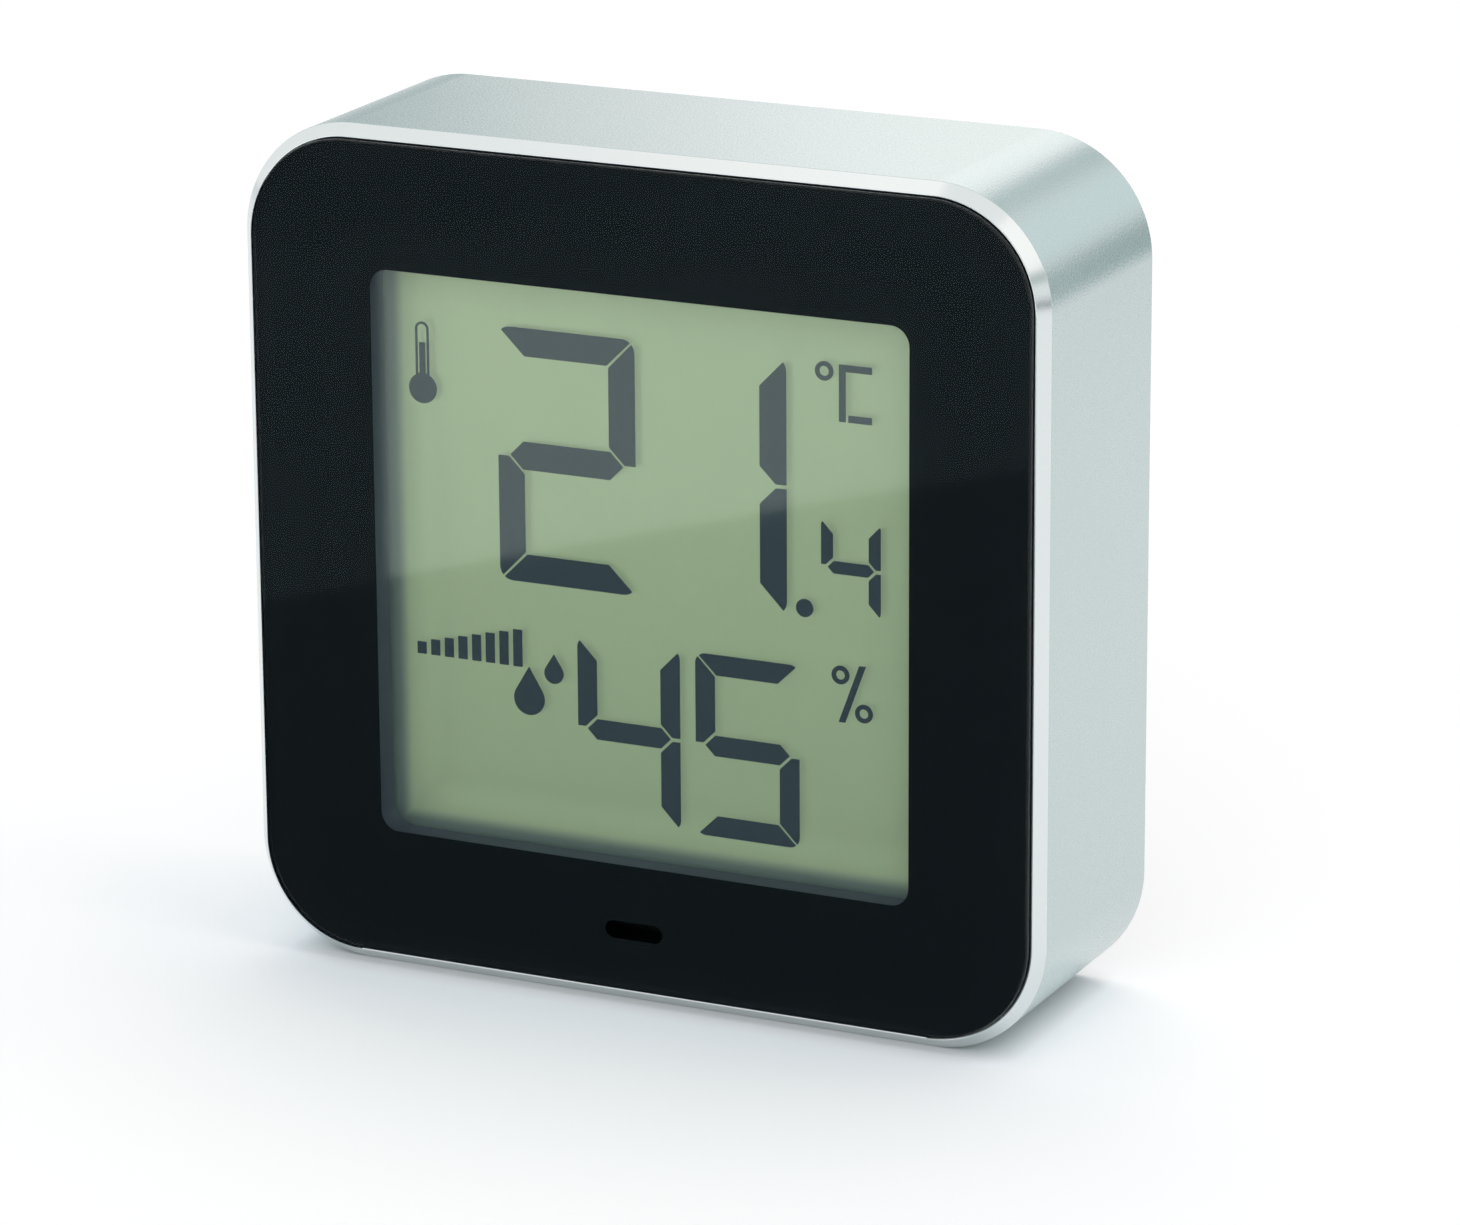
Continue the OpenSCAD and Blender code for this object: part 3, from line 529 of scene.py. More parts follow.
# Display chassis
# The black moulding inside the band: it carries the lens in front, the display in its pocket, and the board
# and the rear cover behind. Injection moulded in ABS with a fine eroded texture.
chassis_colour = rgb(0.082, 0.100, 0.162)
slot_shade_black = rgb(0.001, 0.003, 0.004)
channel_half = 6 * MM
channel_top = 9 * MM


def moulded_plastic(name, colour, speck_size, depth, dull=0.52, blackened=None):
    """Black moulding: soft clouds in the colour, an eroded texture and uneven gloss. Where a zone is given,
    painted shade turns it pitch black there.
    """
    material, paint = finish(name)
    cloud = paint.grain(6 * MM)
    speck = paint.grain(speck_size, 3.0)
    shade = paint.blend(cloud * 0.6 + speck * 0.4, toned(colour, 0.8), toned(colour, 1.25))
    # Painted shade: pitch black over the given zone
    if blackened:
        shade = paint.blend(blackened(paint), shade, slot_shade_black)
    paint.show(paint.skin({
        "Base Color": shade,
        "Roughness": dull - 0.05 + 0.12 * speck,
        "Specular IOR Level": 0.4,
        "Normal": paint.bump(speck, 0.6, depth),
    }))
    return material


def coat(piece, *materials):
    """Gives a piece these materials in place of those that it has."""
    piece.data.materials.clear()
    for material in materials:
        piece.data.materials.append(material)


def dress(node, material):
    """Gives a CAD piece that keeps its shape its real finish."""
    coat(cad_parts[node], material)


def slot_shade_zone(paint):
    """1 round the channel that leads from the slot to the sensors, where pitch black is painted in as shade.
    """
    x, y, z = paint.axes()
    return (abs(x) < channel_half) * (z < channel_top)


# Painted shade: the moulding turns pitch black round the sensor channel
chassis_skin = moulded_plastic(
    "chassis_moulding",
    chassis_colour,
    speck_size=0.12 * MM,
    depth=0.01 * MM,
    dull=0.6,
    blackened=slot_shade_zone,
)
dress("display_chassis", chassis_skin)

# Display
# A reflective liquid-crystal cell: two glasses with a seal between them, a polariser in front, and a
# green-grey reflecting film behind. A foam pad presses it forward into its pocket.
foam_cell = 0.4 * MM


def foam_finish():
    material, paint = finish("white_foam")
    sockets = {"Vector": paint.place(), "Scale": 1 / foam_cell}
    cell = paint.node("ShaderNodeTexVoronoi", None, sockets, "Distance")
    paint.show(paint.skin({
        "Base Color": paint.blend(cell, rgb(0.72, 0.72, 0.69), rgb(0.86, 0.86, 0.83)),
        "Roughness": 0.85 + 0.1 * cell,
        "Normal": paint.bump(cell, 0.8, 0.1 * MM),
    }))
    return material


window_side = 47 * MM
window_corner = 1.6 * MM
recess_side = 47.6 * MM
painted_shade_reach = 1.3 * MM
painted_shade_colour = rgb(0.28, 0.37, 0.29)
painted_light_reach = 3.5 * MM


def from_corner(paint, side, margin, reach):
    """0 along the left and lower sides of a square in the front, 1 from a reach further in."""
    x, y, z = paint.axes()
    inside = x.maths("MINIMUM", x + side / 2, z + (side / 2 - mid_height))
    sockets = {"Value": inside, "From Min": margin, "From Max": margin + reach}
    return paint.node("ShaderNodeMapRange", {"interpolation_type": "SMOOTHSTEP"}, sockets)


def reflector_finish():
    """Pearly film, part metal, with a very fine grain. Painted shade darkens it along the left and lower
    walls that stand over it, and painted light brightens it a little in a band next to that."""
    material, paint = finish("green_grey_reflector")
    cloud = paint.grain(7 * MM)
    pearl = paint.grain(0.10 * MM, 1.0)
    grain = cloud * 0.4 + pearl * 0.6
    film = paint.blend(grain, rgb(0.50, 0.65, 0.355), rgb(0.565, 0.72, 0.405))
    # Painted light: a paler film in a band next to the painted shade
    painted_light_film = paint.blend(grain, rgb(0.63, 0.82, 0.445), rgb(0.71, 0.90, 0.51))
    film = paint.blend(from_corner(paint, recess_side, painted_shade_reach, painted_light_reach), painted_light_film, film)
    # Painted shade: the colour turns dark along the left and lower walls
    paint.show(paint.skin({
        "Base Color": paint.blend(from_corner(paint, recess_side, 0.0, painted_shade_reach), painted_shade_colour, film),
        "Metallic": 0.3,
        "Roughness": 0.42 + 0.06 * pearl,
        "Specular IOR Level": 0.3,
    }))
    return material


def segment_finish():
    material, paint = finish("switched_strokes")
    cloud = paint.grain(1.5 * MM)
    paint.show(paint.skin({
        "Base Color": paint.blend(cloud, rgb(0.002, 0.004, 0.005), rgb(0.004, 0.007, 0.008)),
        "Roughness": 0.55 + 0.1 * cloud,
        "Specular IOR Level": 0.1,
    }))
    return material


def sealant_finish():
    material, paint = finish("display_sealant")
    speck = paint.grain(0.15 * MM)
    paint.show(paint.skin({
        "Base Color": paint.blend(speck, rgb(0.16, 0.19, 0.16), rgb(0.22, 0.25, 0.21)),
        "Roughness": 0.35 + 0.1 * speck,
    }))
    return material


polariser_haze = 0.10
haze_colour = rgb(0.35, 0.58, 0.78)


def glass_finishes():
    """The polariser's face, which is matted and so a little milky, and the clear rest of the cell."""
    face, paint = finish("polariser_face")
    cloud = paint.grain(3 * MM)
    clear = paint.node("ShaderNodeBsdfTransparent")
    milk = paint.node("ShaderNodeBsdfDiffuse", None, {"Color": haze_colour})
    share = polariser_haze + 0.004 * cloud
    paint.show(paint.node("ShaderNodeMixShader", None, {0: share, 1: clear, 2: milk}))
    rest, paint = finish("cell_glass")
    haze = paint.grain(3 * MM)
    clear = paint.node("ShaderNodeBsdfTransparent")
    gloss = paint.node("ShaderNodeBsdfGlossy", None, {"Roughness": 0.05})
    paint.show(paint.node("ShaderNodeMixShader", None, {0: 0.004 * haze, 1: clear, 2: gloss}))
    return face, rest


def tower(name, rings, *materials):
    """A closed shell through rings of equal count, with a flat cap at each end."""
    count = len(rings[0])
    points = [point for ring in rings for point in ring]
    faces = [tuple(range(count)), tuple(range(len(points) - count, len(points)))]
    for low in range(0, len(points) - count, count):
        for k in range(count):
            after = (k + 1) % count
            faces.append((low + k, low + after, low + count + after, low + count + k))
    piece = new_piece(name, points, faces, *materials)
    mend(piece)
    return piece


def upright_ring(box, y):
    """The four corners of a box's front, taken at y."""
    low, high = box
    return [(low.x, y, low.z), (high.x, y, low.z), (high.x, y, high.z), (low.x, y, high.z)]


def paint_facing(piece, way, slot_number, least=0.9):
    """Gives the faces that look along a direction another material slot."""
    for face in piece.data.polygons:
        if face.normal.dot(Vector(way)) > least:
            face.material_index = slot_number


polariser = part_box("lcd_front_polariser")
front_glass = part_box("lcd_front_glass")
rear_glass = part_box("lcd_rear_glass")
# A hair of air between faces that touch in the CAD model, so that a ray can't take one for the other
hair = 0.01 * MM
polariser_face, cell_glass = glass_finishes()
display = tower(
    "display_glass",
    [
        upright_ring(polariser, polariser[0].y),
        upright_ring(polariser, polariser[1].y),
        upright_ring(front_glass, front_glass[0].y),
        upright_ring(front_glass, front_glass[1].y),
        upright_ring(rear_glass, front_glass[1].y),
        upright_ring(rear_glass, rear_glass[1].y - hair),
    ],
    cell_glass,
    polariser_face,
)
paint_facing(display, (0, -1, 0), 1)
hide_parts("lcd_front_polariser", "lcd_front_glass", "lcd_rear_glass")
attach(display, "case")
dress("lcd_foam_pad", foam_finish())
dress("lcd_reflector", reflector_finish())
dress("lcd_segments", segment_finish())
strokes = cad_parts["lcd_segments"]
strokes.visible_shadow = False
strokes.visible_diffuse = False
dress("lcd_seal", sealant_finish())

# Contact strip
# A bar of silicone rubber cut from a stack of thin conducting and insulating layers. It is squeezed between
# the bare edge of the front glass and the board, and carries the current to the strokes.
layer_pitch = 0.18 * MM
wave_unit = 0.314


def waves(paint, direction, pitch, distortion):
    """Waves from 0 to 1 along an axis, a pitch apart. At a scale of 1 they lie a wave unit apart."""
    sockets = {"Vector": paint.place(), "Scale": wave_unit / pitch, "Distortion": distortion}
    return paint.node("ShaderNodeTexWave", {"bands_direction": direction}, sockets, "Fac")


def contact_strip_finish():
    material, paint = finish("layered_rubber")
    layers = waves(paint, "X", layer_pitch, distortion=0.2)
    paint.show(paint.skin({
        "Base Color": paint.blend(layers, rgb(0.02, 0.02, 0.022), rgb(0.62, 0.36, 0.40)),
        "Roughness": 0.6 + 0.15 * layers,
    }))
    return material


dress("zebra_strip", contact_strip_finish())

# Lens, mask and tape
# The lens is a flat plate of clear acrylic with a polished round edge and a sensor slot milled through it.
# Its back is printed dark round the window, and a ring of black tape holds it to the chassis.
lens_low, lens_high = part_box("front_lens")
lens_corner = 8.6 * MM
lens_edge = 0.22 * MM
slot_width = 5.1 * MM
slot_height = 1.5 * MM
slot_left = 0.6 * MM
slot_top = 8 * MM
rim_index = 1.3
coated_index = 1.14
window_mirror = 0.058
bare_margin = 0.4 * MM
bare_reach = 1.2 * MM
window_tint = rgb(0.75, 0.89, 0.80)
coat_tint = rgb(0.75, 0.95, 1.0)
ink_dark = rgb(0.0055, 0.0098, 0.012)
ink_pale = rgb(0.0068, 0.0112, 0.0136)


def clear_plate(name, share_of, dull, tint=white):
    """Clear acrylic that mirrors a share of the light, with faint smears."""
    material, paint = finish(name)
    smear = paint.grain(14 * MM)
    clear = paint.node("ShaderNodeBsdfTransparent")
    gloss = paint.node("ShaderNodeBsdfGlossy", None, {"Color": tint, "Roughness": dull + 0.01 * smear})
    paint.show(paint.node("ShaderNodeMixShader", None, {0: share_of(paint), 1: clear, 2: gloss}))
    return material


def bare_window(paint):
    """The share that the lens's back mirrors: only where it bears no print, and meets air."""
    x, y, z = paint.axes()
    straight = window_side / 2 - window_corner
    over_x = x.maths("MAXIMUM", abs(x) - straight, 0.0)
    over_z = x.maths("MAXIMUM", abs(z - mid_height) - straight, 0.0)
    bare = over_x * over_x + over_z * over_z < window_corner ** 2
    return window_mirror * bare * from_corner(paint, window_side, bare_margin, bare_reach)


def lens_finishes():
    """The polished rim, the front with its coat against glare, and the back, bare only in the window."""
    rim = clear_plate("polished_rim", lambda paint: paint.fresnel(rim_index), dull=0.04)
    front = clear_plate("coated_front", lambda paint: paint.fresnel(coated_index), dull=0.03, tint=coat_tint)
    back = clear_plate("printed_back", bare_window, dull=0.04, tint=window_tint)
    return rim, front, back


def mask_finish():
    material, paint = finish("dark_mask_ink")
    cloud = paint.grain(5 * MM)
    speck = paint.grain(0.08 * MM)
    paint.show(paint.skin({
        "Base Color": paint.blend(cloud * 0.7 + speck * 0.3, ink_dark, ink_pale),
        "Roughness": 0.6 + 0.1 * speck,
        "Specular IOR Level": 0.05,
    }))
    return material


def tape_finish():
    material, paint = finish("black_tape")
    fibre = paint.grain(0.3 * MM, 4.0)
    paint.show(paint.skin({
        "Base Color": paint.blend(fibre, rgb(0.018, 0.018, 0.02), rgb(0.035, 0.035, 0.037)),
        "Roughness": 0.55 + 0.2 * fibre,
        "Normal": paint.bump(fibre, 0.3, 0.02 * MM),
    }))
    return material


def lens_outlines():
    """The lens's outer line and the slot in it, about the middle of the case."""
    half_x = (lens_high.x - lens_low.x) / 2
    half_z = (lens_high.z - lens_low.z) / 2
    outer = [(sx * half_x, sz * half_z, lens_corner) for sx, sz in square_signs]
    slot_x = slot_width / 2
    slot_z = slot_height / 2
    slot_round = slot_z * 0.999
    sensor_low, sensor_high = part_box("humidity_sensor")
    drop = (sensor_low.z + sensor_high.z) / 2 - mid_height
    slot = [(sx * slot_x - slot_left, drop + sz * slot_z, slot_round) for sx, sz in square_signs]
    return [rounded_outline(outer, steps=24), rounded_outline(slot, steps=10)]


def part_flats(plate):
    """Smooth shading, with the flat front and back parted from the round edges, so that they mirror truly."""
    shape = bmesh.new()
    shape.from_mesh(plate.data)
    for face in shape.faces:
        face.smooth = True
    flat = 0.999
    for edge in shape.edges:
        edge.smooth = len({abs(face.normal.y) > flat for face in edge.link_faces}) == 1
    shape.to_mesh(plate.data)
    shape.free()


def edged_plate(name, outlines, low_y, high_y, edge):
    """A flat plate with round edges, from y to y, about the middle of the case."""
    curve = flat_curve(name + "_curve", outlines)
    curve.data.fill_mode = "BOTH"
    curve.data.extrude = (high_y - low_y) / 2 - edge
    curve.data.bevel_depth = edge
    curve.data.bevel_resolution = 3
    curve.data.offset = -edge
    plate = plain_mesh(curve, name)
    middle = Vector((0, (low_y + high_y) / 2, mid_height))
    plate.data.transform(Matrix.Translation(middle) @ Matrix.Rotation(math.pi / 2, 4, "X"))
    mend(plate)
    part_flats(plate)
    return plate


lens = edged_plate("front_lens_polished", lens_outlines(), lens_low.y, lens_high.y - hair, lens_edge)
coat(lens, *lens_finishes())
paint_facing(lens, (0, -1, 0), 1)
paint_facing(lens, (0, 1, 0), 2)
wall_tilt = 0.95
for face in lens.data.polygons:
    near_slot = abs(face.center.x) < slot_width and face.center.z < slot_top
    if near_slot and abs(face.normal.y) < wall_tilt:
        face.material_index = 2
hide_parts("front_lens")
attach(lens, "case")
dress("mask_print", mask_finish())
dress("lens_tape", tape_finish())

# Circuit board
# Glass-fibre laminate with copper tracks under green solder mask. Two screws on each side hold it to the
# chassis, and its corners are cut away round the posts.
track_pitch = 0.9 * MM
track_crest = 0.62
region_size = 9 * MM


def board_finish():
    """Green mask over bare laminate, with wider lines where copper runs below it; painted shade, pitch black,
    behind the slot.
    """
    material, paint = finish("green_solder_mask")
    across = waves(paint, "X", track_pitch, distortion=0.0) > track_crest
    upright = waves(paint, "Z", track_pitch, distortion=0.0) > track_crest
    sockets = {"Vector": paint.place(), "Scale": 1 / region_size}
    region = paint.node("ShaderNodeTexVoronoi", None, sockets, "Color")
    pick = paint.node("ShaderNodeSeparateColor", None, {"Color": region}, "Red")
    copper = across * (pick < 0.45) + upright * (pick > 0.55)
    weave = paint.grain(0.5 * MM, 3.0)
    bare = paint.blend(weave, rgb(0.012, 0.085, 0.040), rgb(0.020, 0.115, 0.055))
    green = paint.blend(copper, bare, rgb(0.045, 0.20, 0.085))
    # Painted shade: pitch black round the sensor channel
    paint.show(paint.skin({
        "Base Color": paint.blend(slot_shade_zone(paint), green, slot_shade_black),
        "Roughness": 0.32 + 0.12 * weave,
        "Normal": paint.bump(copper, 0.4, 0.03 * MM),
    }))
    return material


dress("main_board", board_finish())

# Parts on the board
# A drop of black epoxy covers the bare chip, a watch crystal in a nickel can keeps the time, and chip
# resistors with tinned ends are soldered in two rows. A humidity element and a bead thermistor face the slot.
small_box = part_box("board_parts")
small_columns = 5
small_rows = 2
small_length = 1.6 * MM
small_width = 0.8 * MM
small_cap = 0.3 * MM
scratch_size = 0.12 * MM


def epoxy_finish(name, colour):
    material, paint = finish(name)
    flow = paint.grain(2.5 * MM)
    dust = paint.grain(0.1 * MM)
    paint.show(paint.skin({
        "Base Color": paint.blend(dust, colour, toned(colour, 1.6)),
        "Roughness": 0.22 + 0.12 * dust,
        "Normal": paint.bump(flow, 0.3, 0.2 * MM),
    }))
    return material


def nickel_finish(name, colour=(0.66, 0.65, 0.61), stretch=(1, 1, 1)):
    """Plated metal with fine scratches that run along the least stretched axis."""
    material, paint = finish(name)
    turned = paint.node("ShaderNodeMapping", None, {"Vector": paint.place(), "Scale": stretch})
    sockets = {"Vector": turned, "Scale": 1 / scratch_size, "Detail": 3.0}
    scratch = paint.node("ShaderNodeTexNoise", None, sockets, "Fac")
    paint.show(paint.skin({
        "Base Color": paint.blend(scratch, toned(colour, 0.88), toned(colour, 1.06)),
        "Metallic": 1.0,
        "Roughness": 0.2 + 0.18 * scratch,
        "Normal": paint.bump(scratch, 0.15, 0.01 * MM),
    }))
    return material


def ceramic_finish():
    material, paint = finish("fired_ceramic")
    speck = paint.grain(0.06 * MM)
    paint.show(paint.skin({
        "Base Color": paint.blend(speck, rgb(0.13, 0.085, 0.055), rgb(0.21, 0.14, 0.095)),
        "Roughness": 0.45 + 0.15 * speck,
    }))
    return material


def box_shape(name, low, high, *materials):
    return tower(name, [upright_ring((low, high), low.y), upright_ring((low, high), high.y)], *materials)


def repeat_tree():
    tree, paint, given = growth("copies_on_points", {
        "Geometry": "Geometry",
        "Copy": "Object",
        "Finish": "Material",
    })
    single = paint.node("GeometryNodeObjectInfo", None, {"Object": given.part("Copy")}, "Geometry")
    spread = paint.node(
        "GeometryNodeInstanceOnPoints", None, {"Points": given.part("Geometry"), "Instance": single}
    )
    close_growth(paint, spread, given.part("Finish"))
    return tree


copies_on_points = repeat_tree()


def repeated(name, single, places, material):
    """Copies of one shape on a list of places, as one piece; the single shape is removed."""
    piece = grown(name, copies_on_points, {"Copy": single, "Finish": material}, places)
    bpy.data.objects.remove(single)
    return piece


def eased(piece, width, segments=2, angle=35):
    """Rounds the edges of a piece that are sharper than the angle."""
    bevel = piece.modifiers.new("edges", "BEVEL")
    bevel.width = width
    bevel.segments = segments
    bevel.limit_method = "ANGLE"
    bevel.angle_limit = math.radians(angle)
    bevel.use_clamp_overlap = False
    bevel.loop_slide = False
    return smooth(plain_mesh(piece, piece.name), sharp_angle=50)


def small_part_places():
    low, high = small_box
    step_x = (high.x - low.x - small_length) / (small_columns - 1)
    step_z = (high.z - low.z - small_width) / (small_rows - 1)
    return [
        (low.x + i * step_x + small_length / 2, low.y, low.z + k * step_z + small_width / 2)
        for k in range(small_rows)
        for i in range(small_columns)
    ]


small_height = small_box[1].y - small_box[0].y
half_x = small_length / 2
half_z = small_width / 2
inset = 0.03 * MM
body_single = eased(box_shape(
    "chip_body",
    Vector((small_cap - half_x, inset, inset - half_z)),
    Vector((half_x - small_cap, small_height - inset, half_z - inset)),
), width=0.04 * MM)
small_parts = repeated("board_chip_bodies", body_single, small_part_places(), ceramic_finish())
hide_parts("board_parts")
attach(small_parts, "case")
cap_places = [
    (x + side * (small_length - small_cap) / 2, y, z)
    for x, y, z in small_part_places()
    for side in (-1, 1)
]
cap_single = eased(box_shape(
    "chip_cap",
    Vector((-small_cap / 2, 0, -half_z)),
    Vector((small_cap / 2, small_height, half_z)),
), width=0.05 * MM)
tinned_ends = nickel_finish("tinned_ends", colour=(0.7, 0.7, 0.69))
caps = repeated("board_chip_ends", cap_single, cap_places, tinned_ends)
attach(caps, "case")
dress("display_chip", epoxy_finish("black_epoxy", rgb(0.012, 0.012, 0.014)))
dress("thermistor", epoxy_finish("bead_epoxy", rgb(0.02, 0.03, 0.07)))
dress("timing_crystal", nickel_finish("nickel_can", colour=(0.70, 0.70, 0.68), stretch=(1, 1, 0.1)))
dress("humidity_sensor", epoxy_finish("sensor_epoxy", rgb(0.004, 0.004, 0.005)))

# Tact switch
# A moulded body with four soldered feet and a round plunger, which snaps when the key pushes it.
switch_colour = rgb(0.03, 0.03, 0.032)
plunger_colour = rgb(0.018, 0.018, 0.02)
switch_speck = 0.1 * MM
dress("tact_switch", moulded_plastic("switch_moulding", switch_colour, switch_speck, depth=0.006 * MM))
plunger_skin = moulded_plastic("plunger_moulding", plunger_colour, switch_speck, depth=0.004 * MM, dull=0.42)
dress("tact_plunger", plunger_skin)

# Screws
# Cross-head screws, rolled from wire: nickel plated ones hold the board, and blackened ones hold the rear
# cover to the chassis posts. The head has a rounded edge and a cross pressed into it.
thread_pitch = 0.6 * MM
head_sides = 40


def full_turn(sides):
    """The angles of a ring's corners."""
    return [2 * math.pi * k / sides for k in range(sides)]


def quarter_turn(steps):
    """The angles of a quarter circle, with both its ends."""
    return [math.pi / 2 * k / steps for k in range(steps + 1)]


def turned_ring(radius, y):
    return [(radius * math.cos(angle), y, radius * math.sin(angle)) for angle in full_turn(head_sides)]


def cross_cutter(arm, width, low, high):
    """A cross whose arms narrow towards their bottom."""
    cutters = []
    for turn in (0, math.pi / 2):
        spin = Matrix.Rotation(turn, 3, "Y")
        rings = []
        for y, share in ((low, 0.72), (high, 1.1)):
            ring = [Vector((sx * arm * share, y, sz * width * share)) for sx, sz in square_signs]
            rings.append([spin @ corner for corner in ring])
        cutters.append(tower("cross_arm", rings))
    return cutters


def screw_single(shank, length, head, height):
    """One screw at the origin with its head towards +Y."""
    tip = 0.02 * MM
    ease = 0.06 * MM
    root = shank * 0.78
    edge = height * 0.45
    rings = [turned_ring(tip, -length), turned_ring(shank * 0.55, -length + shank * 0.6)]
    turns = int((length - shank) / thread_pitch)
    for i in range(turns):
        y = -length + shank * 0.8 + i * thread_pitch
        rings.append(turned_ring(root, y))
        rings.append(turned_ring(shank, y + thread_pitch / 2))
    rings.append(turned_ring(root, 0))
    rings.append(turned_ring(head - ease, 0))
    rings.append(turned_ring(head, ease))
    for angle in quarter_turn(5):
        inward = edge * 0.8 * (1 - math.cos(angle))
        rings.append(turned_ring(head - inward, height - edge + edge * math.sin(angle)))
    screw = tower("screw", rings)
    for cutter in cross_cutter(arm=head * 0.62, width=head * 0.14, low=height * 0.45, high=height * 1.1):
        cut = screw.modifiers.new("cross", "BOOLEAN")
        cut.object = cutter
        cut.operation = "DIFFERENCE"
        cut.solver = "EXACT"
        screw = plain_mesh(screw, "screw")
        bpy.data.objects.remove(cutter)
    return smooth(screw, sharp_angle=35)


def screw_places(node, head_y):
    """The middles of four screws whose heads touch the corners of their node's box."""
    low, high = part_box(node)
    head = screw_heads[node]
    return [(x, head_y, z) for x in (low.x + head, high.x - head) for z in (low.z + head, high.z - head)]


screw_heads = {"board_screws": 1.4 * MM, "rear_screws": 1.9 * MM}
board_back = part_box("main_board")[1].y
board_screw_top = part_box("board_screws")[1].y
board_screws = repeated(
    "board_screws_nickel",
    screw_single(
        shank=0.8 * MM,
        length=3.7 * MM,
        head=screw_heads["board_screws"],
        height=board_screw_top - board_back,
    ),
    screw_places("board_screws", board_back),
    nickel_finish("nickel_screw"),
)
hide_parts("board_screws")
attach(board_screws, "case")

# Rear cover
# A black moulding set into the rear of the band: a plate with the battery well, a keyhole for a wall screw,
# vents, the guide of the unit key and four counterbores for its screws.
cover_colour = rgb(0.030, 0.034, 0.036)
cover_speck = 0.20 * MM
cover_relief = 0.02 * MM
level_within = math.radians(0.5)


def joined_copy(node, name):
    """A copy of a CAD piece with its triangles joined into flat faces."""
    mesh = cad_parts[node].data.copy()
    shape = bmesh.new()
    shape.from_mesh(mesh)
    bmesh.ops.remove_doubles(shape, verts=shape.verts, dist=weld_reach)
    bmesh.ops.dissolve_limit(shape, angle_limit=level_within, verts=shape.verts, edges=shape.edges)
    shape.to_mesh(mesh)
    shape.free()
    mesh.name = name
    mesh.materials.clear()
    piece = bpy.data.objects.new(name, mesh)
    scene.collection.objects.link(piece)
    return piece


cover = eased(joined_copy("rear_cover", "rear_cover_moulded"), width=0.14 * MM, segments=3)
coat(cover, moulded_plastic("cover_moulding", cover_colour, cover_speck, cover_relief))
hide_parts("rear_cover")
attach(cover, "case")


def black_steel_finish():
    material, paint = finish("blackened_steel")
    wear = paint.grain(0.25 * MM, 3.0)
    paint.show(paint.skin({
        "Base Color": paint.blend(wear, rgb(0.035, 0.035, 0.037), rgb(0.10, 0.10, 0.102)),
        "Metallic": 0.8,
        "Roughness": 0.34 + 0.14 * wear,
        "Normal": paint.bump(wear, 0.2, 0.01 * MM),
    }))
    return material


rear_low, rear_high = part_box("rear_screws")
rear_head_height = 0.9 * MM
rear_seat = rear_high.y - rear_head_height
rear_screws = repeated(
    "rear_screws_black",
    screw_single(
        shank=1.0 * MM,
        length=rear_seat - rear_low.y,
        head=screw_heads["rear_screws"],
        height=rear_head_height,
    ),
    screw_places("rear_screws", rear_seat),
    black_steel_finish(),
)
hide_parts("rear_screws")
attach(rear_screws, "case")

# Unit key
# A round key with a dished top that stands a little proud of the cover. A collar behind the cover keeps it
# in, and its stem rests on the plunger of the switch.
key_colour = rgb(0.045, 0.05, 0.052)
key = eased(joined_copy("unit_button", "unit_key_cap"), width=0.12 * MM, segments=3, angle=30)
coat(key, moulded_plastic("key_moulding", key_colour, speck_size=0.15 * MM, depth=0.008 * MM, dull=0.44))
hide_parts("unit_button")
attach(key, "unit_key")

# Battery contacts and spring
# Plates of nickel-plated spring steel stand at the ends of the well, with tails down to the board. A conical
# spring of plated wire presses the cell against the plus plate.
contact_nickel = nickel_finish("contact_nickel", colour=(0.72, 0.70, 0.64), stretch=(1, 0.08, 1))
for node in ("negative_contact", "positive_contact"):
    dress(node, contact_nickel)
spring_low, spring_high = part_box("battery_spring")
cell_low, cell_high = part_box("battery_cell")
wire_radius = 0.3 * MM
spring_wide = 3.5 * MM
spring_narrow = 2.5 * MM
spring_turns = 4.5
cell_middle = Vector((0, (cell_low.y + cell_high.y) / 2, (cell_low.z + cell_high.z) / 2))


def spring_tree():
    tree, paint, given = growth("conical_spring", {
        "Turns": "Float",
        "Wide Radius": "Float",
        "Narrow Radius": "Float",
        "Length": "Float",
        "Wire Radius": "Float",
        "Place": "Vector",
        "Finish": "Material",
    })
    line = paint.node("GeometryNodeCurveSpiral", None, {
        "Resolution": 40,
        "Rotations": given.part("Turns"),
        "Start Radius": given.part("Wide Radius"),
        "End Radius": given.part("Narrow Radius"),
        "Height": given.part("Length"),
    })
    round_wire = paint.node("GeometryNodeCurvePrimitiveCircle", None, {
        "Resolution": 16,
        "Radius": given.part("Wire Radius"),
    })
    wire = paint.node("GeometryNodeCurveToMesh", None, {
        "Curve": line,
        "Profile Curve": round_wire,
        "Fill Caps": True,
    })
    laid = paint.node("GeometryNodeTransform", None, {
        "Geometry": wire,
        "Translation": given.part("Place"),
        "Rotation": Euler((math.pi / 2, 0, math.pi / 2)),
    })
    close_growth(paint, laid, given.part("Finish"))
    return tree


spring_start = spring_low.x + wire_radius
spring = grown("battery_spring_wire", spring_tree(), {
    "Turns": spring_turns,
    "Wide Radius": spring_wide,
    "Narrow Radius": spring_narrow,
    "Length": spring_high.x - spring_low.x - 2 * wire_radius,
    "Wire Radius": wire_radius,
    "Place": (spring_start, cell_middle.y, cell_middle.z),
    "Finish": nickel_finish("spring_nickel", colour=(0.68, 0.67, 0.64)),
})
mend(spring)
spring = smooth(spring, sharp_angle=60)
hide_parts("battery_spring")
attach(spring, "case")

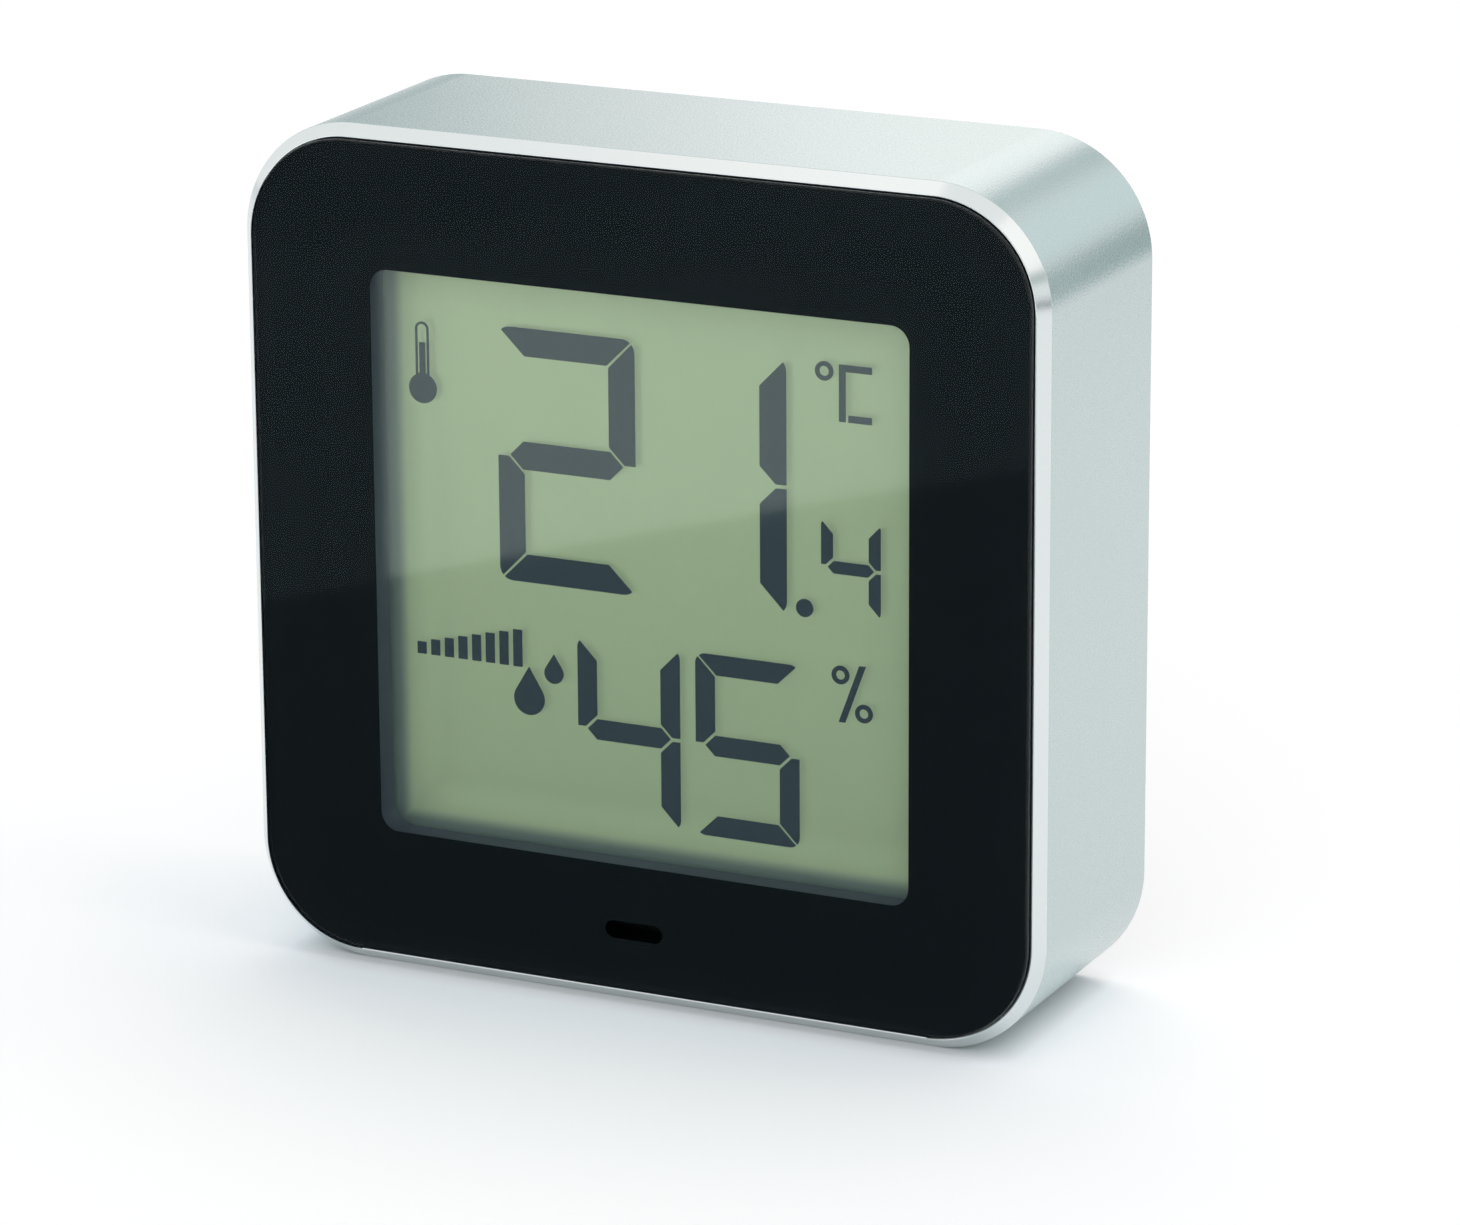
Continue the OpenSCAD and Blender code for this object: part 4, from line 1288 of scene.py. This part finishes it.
# Battery
# One AAA cell: a drawn steel can with a pressed button at the plus end, a crimped insulating ring, and a
# plain printed sleeve with a plus and a minus sign.
cell_radius = 5.25 * MM
nub_radius = 1.9 * MM
nub_length = 1.0 * MM
cell_shoulder = 0.4 * MM
bare_plus_end = 0.9 * MM
bare_minus_end = 0.7 * MM
sleeve_end = cell_high.x - nub_length - bare_plus_end
sleeve_start = cell_low.x + bare_minus_end
stripe_near = 8.3 * MM
stripe_far = 9.5 * MM
sign_inset = 4.2 * MM
sign_arm = 1.5 * MM
sign_stroke = 0.28 * MM


def cell_finish():
    material, paint = finish("printed_sleeve")
    x, y, z = paint.axes()
    height = z - cell_middle.z
    speck = paint.grain(0.3 * MM)
    covered = (x > sleeve_start) * (x < sleeve_end)
    stripe = (x > sleeve_end - stripe_far) * (x < sleeve_end - stripe_near)
    plus_x = abs(x - (sleeve_end - sign_inset))
    minus_x = abs(x - (sleeve_start + sign_inset))
    level = (abs(height) < sign_stroke) * (plus_x < sign_arm)
    upright = (plus_x < sign_stroke) * (abs(height) < sign_arm)
    minus = (minus_x < sign_stroke) * (abs(height) < sign_arm)
    outer = y > cell_middle.y
    signs = level.maths("MAXIMUM", level.maths("MAXIMUM", level, upright), minus) * outer
    printed = paint.blend(speck, rgb(0.10, 0.19, 0.23), rgb(0.13, 0.23, 0.27))
    striped = paint.blend(stripe.maths("MAXIMUM", stripe, signs), printed, rgb(0.72, 0.73, 0.72))
    paint.show(paint.skin({
        "Base Color": paint.blend(covered, rgb(0.66, 0.66, 0.64), striped),
        "Metallic": 1.0 - 0.75 * covered,
        "Roughness": 0.26 + 0.08 * speck,
        "Normal": paint.bump(speck, 0.1, 0.01 * MM),
    }))
    return material


def lathe(name, profile, middle, *materials, sides=72):
    """A shell turned about a line along X through the middle: profile of (x, radius)."""
    rings = []
    for x, radius in profile:
        ring = [(radius * math.cos(angle), radius * math.sin(angle)) for angle in full_turn(sides)]
        rings.append([(x, middle.y + y, middle.z + z) for y, z in ring])
    return tower(name, rings, *materials)


def cell_profile():
    """From the minus end to the button: pressed dishes, rolled edges and a crimp under the sleeve."""
    tip = 0.01 * MM
    dish = 0.12 * MM
    crimp = 0.25 * MM
    nub_root = 0.05 * MM
    nub_edge = 0.3 * MM
    body_end = cell_high.x - nub_length
    end_radius = cell_radius - cell_shoulder
    points = [
        (cell_low.x + dish, tip),
        (cell_low.x + dish, cell_radius * 0.42),
        (cell_low.x, cell_radius * 0.50),
        (cell_low.x, end_radius),
    ]
    for angle in quarter_turn(4)[1:]:
        x = cell_low.x + cell_shoulder * (1 - math.cos(angle))
        points.append((x, end_radius + cell_shoulder * math.sin(angle)))
    for angle in quarter_turn(4):
        x = body_end - cell_shoulder * (1 - math.sin(angle))
        points.append((x, end_radius + cell_shoulder * math.cos(angle)))
    points += [
        (body_end, cell_radius * 0.80),
        (body_end - crimp, cell_radius * 0.76),
        (body_end - crimp, nub_radius + crimp),
        (body_end - nub_root, nub_radius),
    ]
    for angle in quarter_turn(4):
        x = cell_high.x - nub_edge * (1 - math.sin(angle))
        points.append((x, nub_radius - nub_edge * (1 - math.cos(angle))))
    points.append((cell_high.x, tip))
    return points


cell = smooth(lathe("battery_cell_sleeved", cell_profile(), cell_middle, cell_finish()), sharp_angle=35)
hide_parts("battery_cell")
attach(cell, "case")

# Battery door
# A flat moulding that lies flush in the rear cover. It turns on two pins at its lower edge, its latch tab
# reaches into the nail notch of the cover, and low ribs give the thumb a grip.
door = eased(joined_copy("battery_door", "battery_door_moulded"), width=0.11 * MM, segments=3)
coat(door, moulded_plastic("door_moulding", cover_colour, cover_speck, cover_relief))
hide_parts("battery_door")
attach(door, "door")
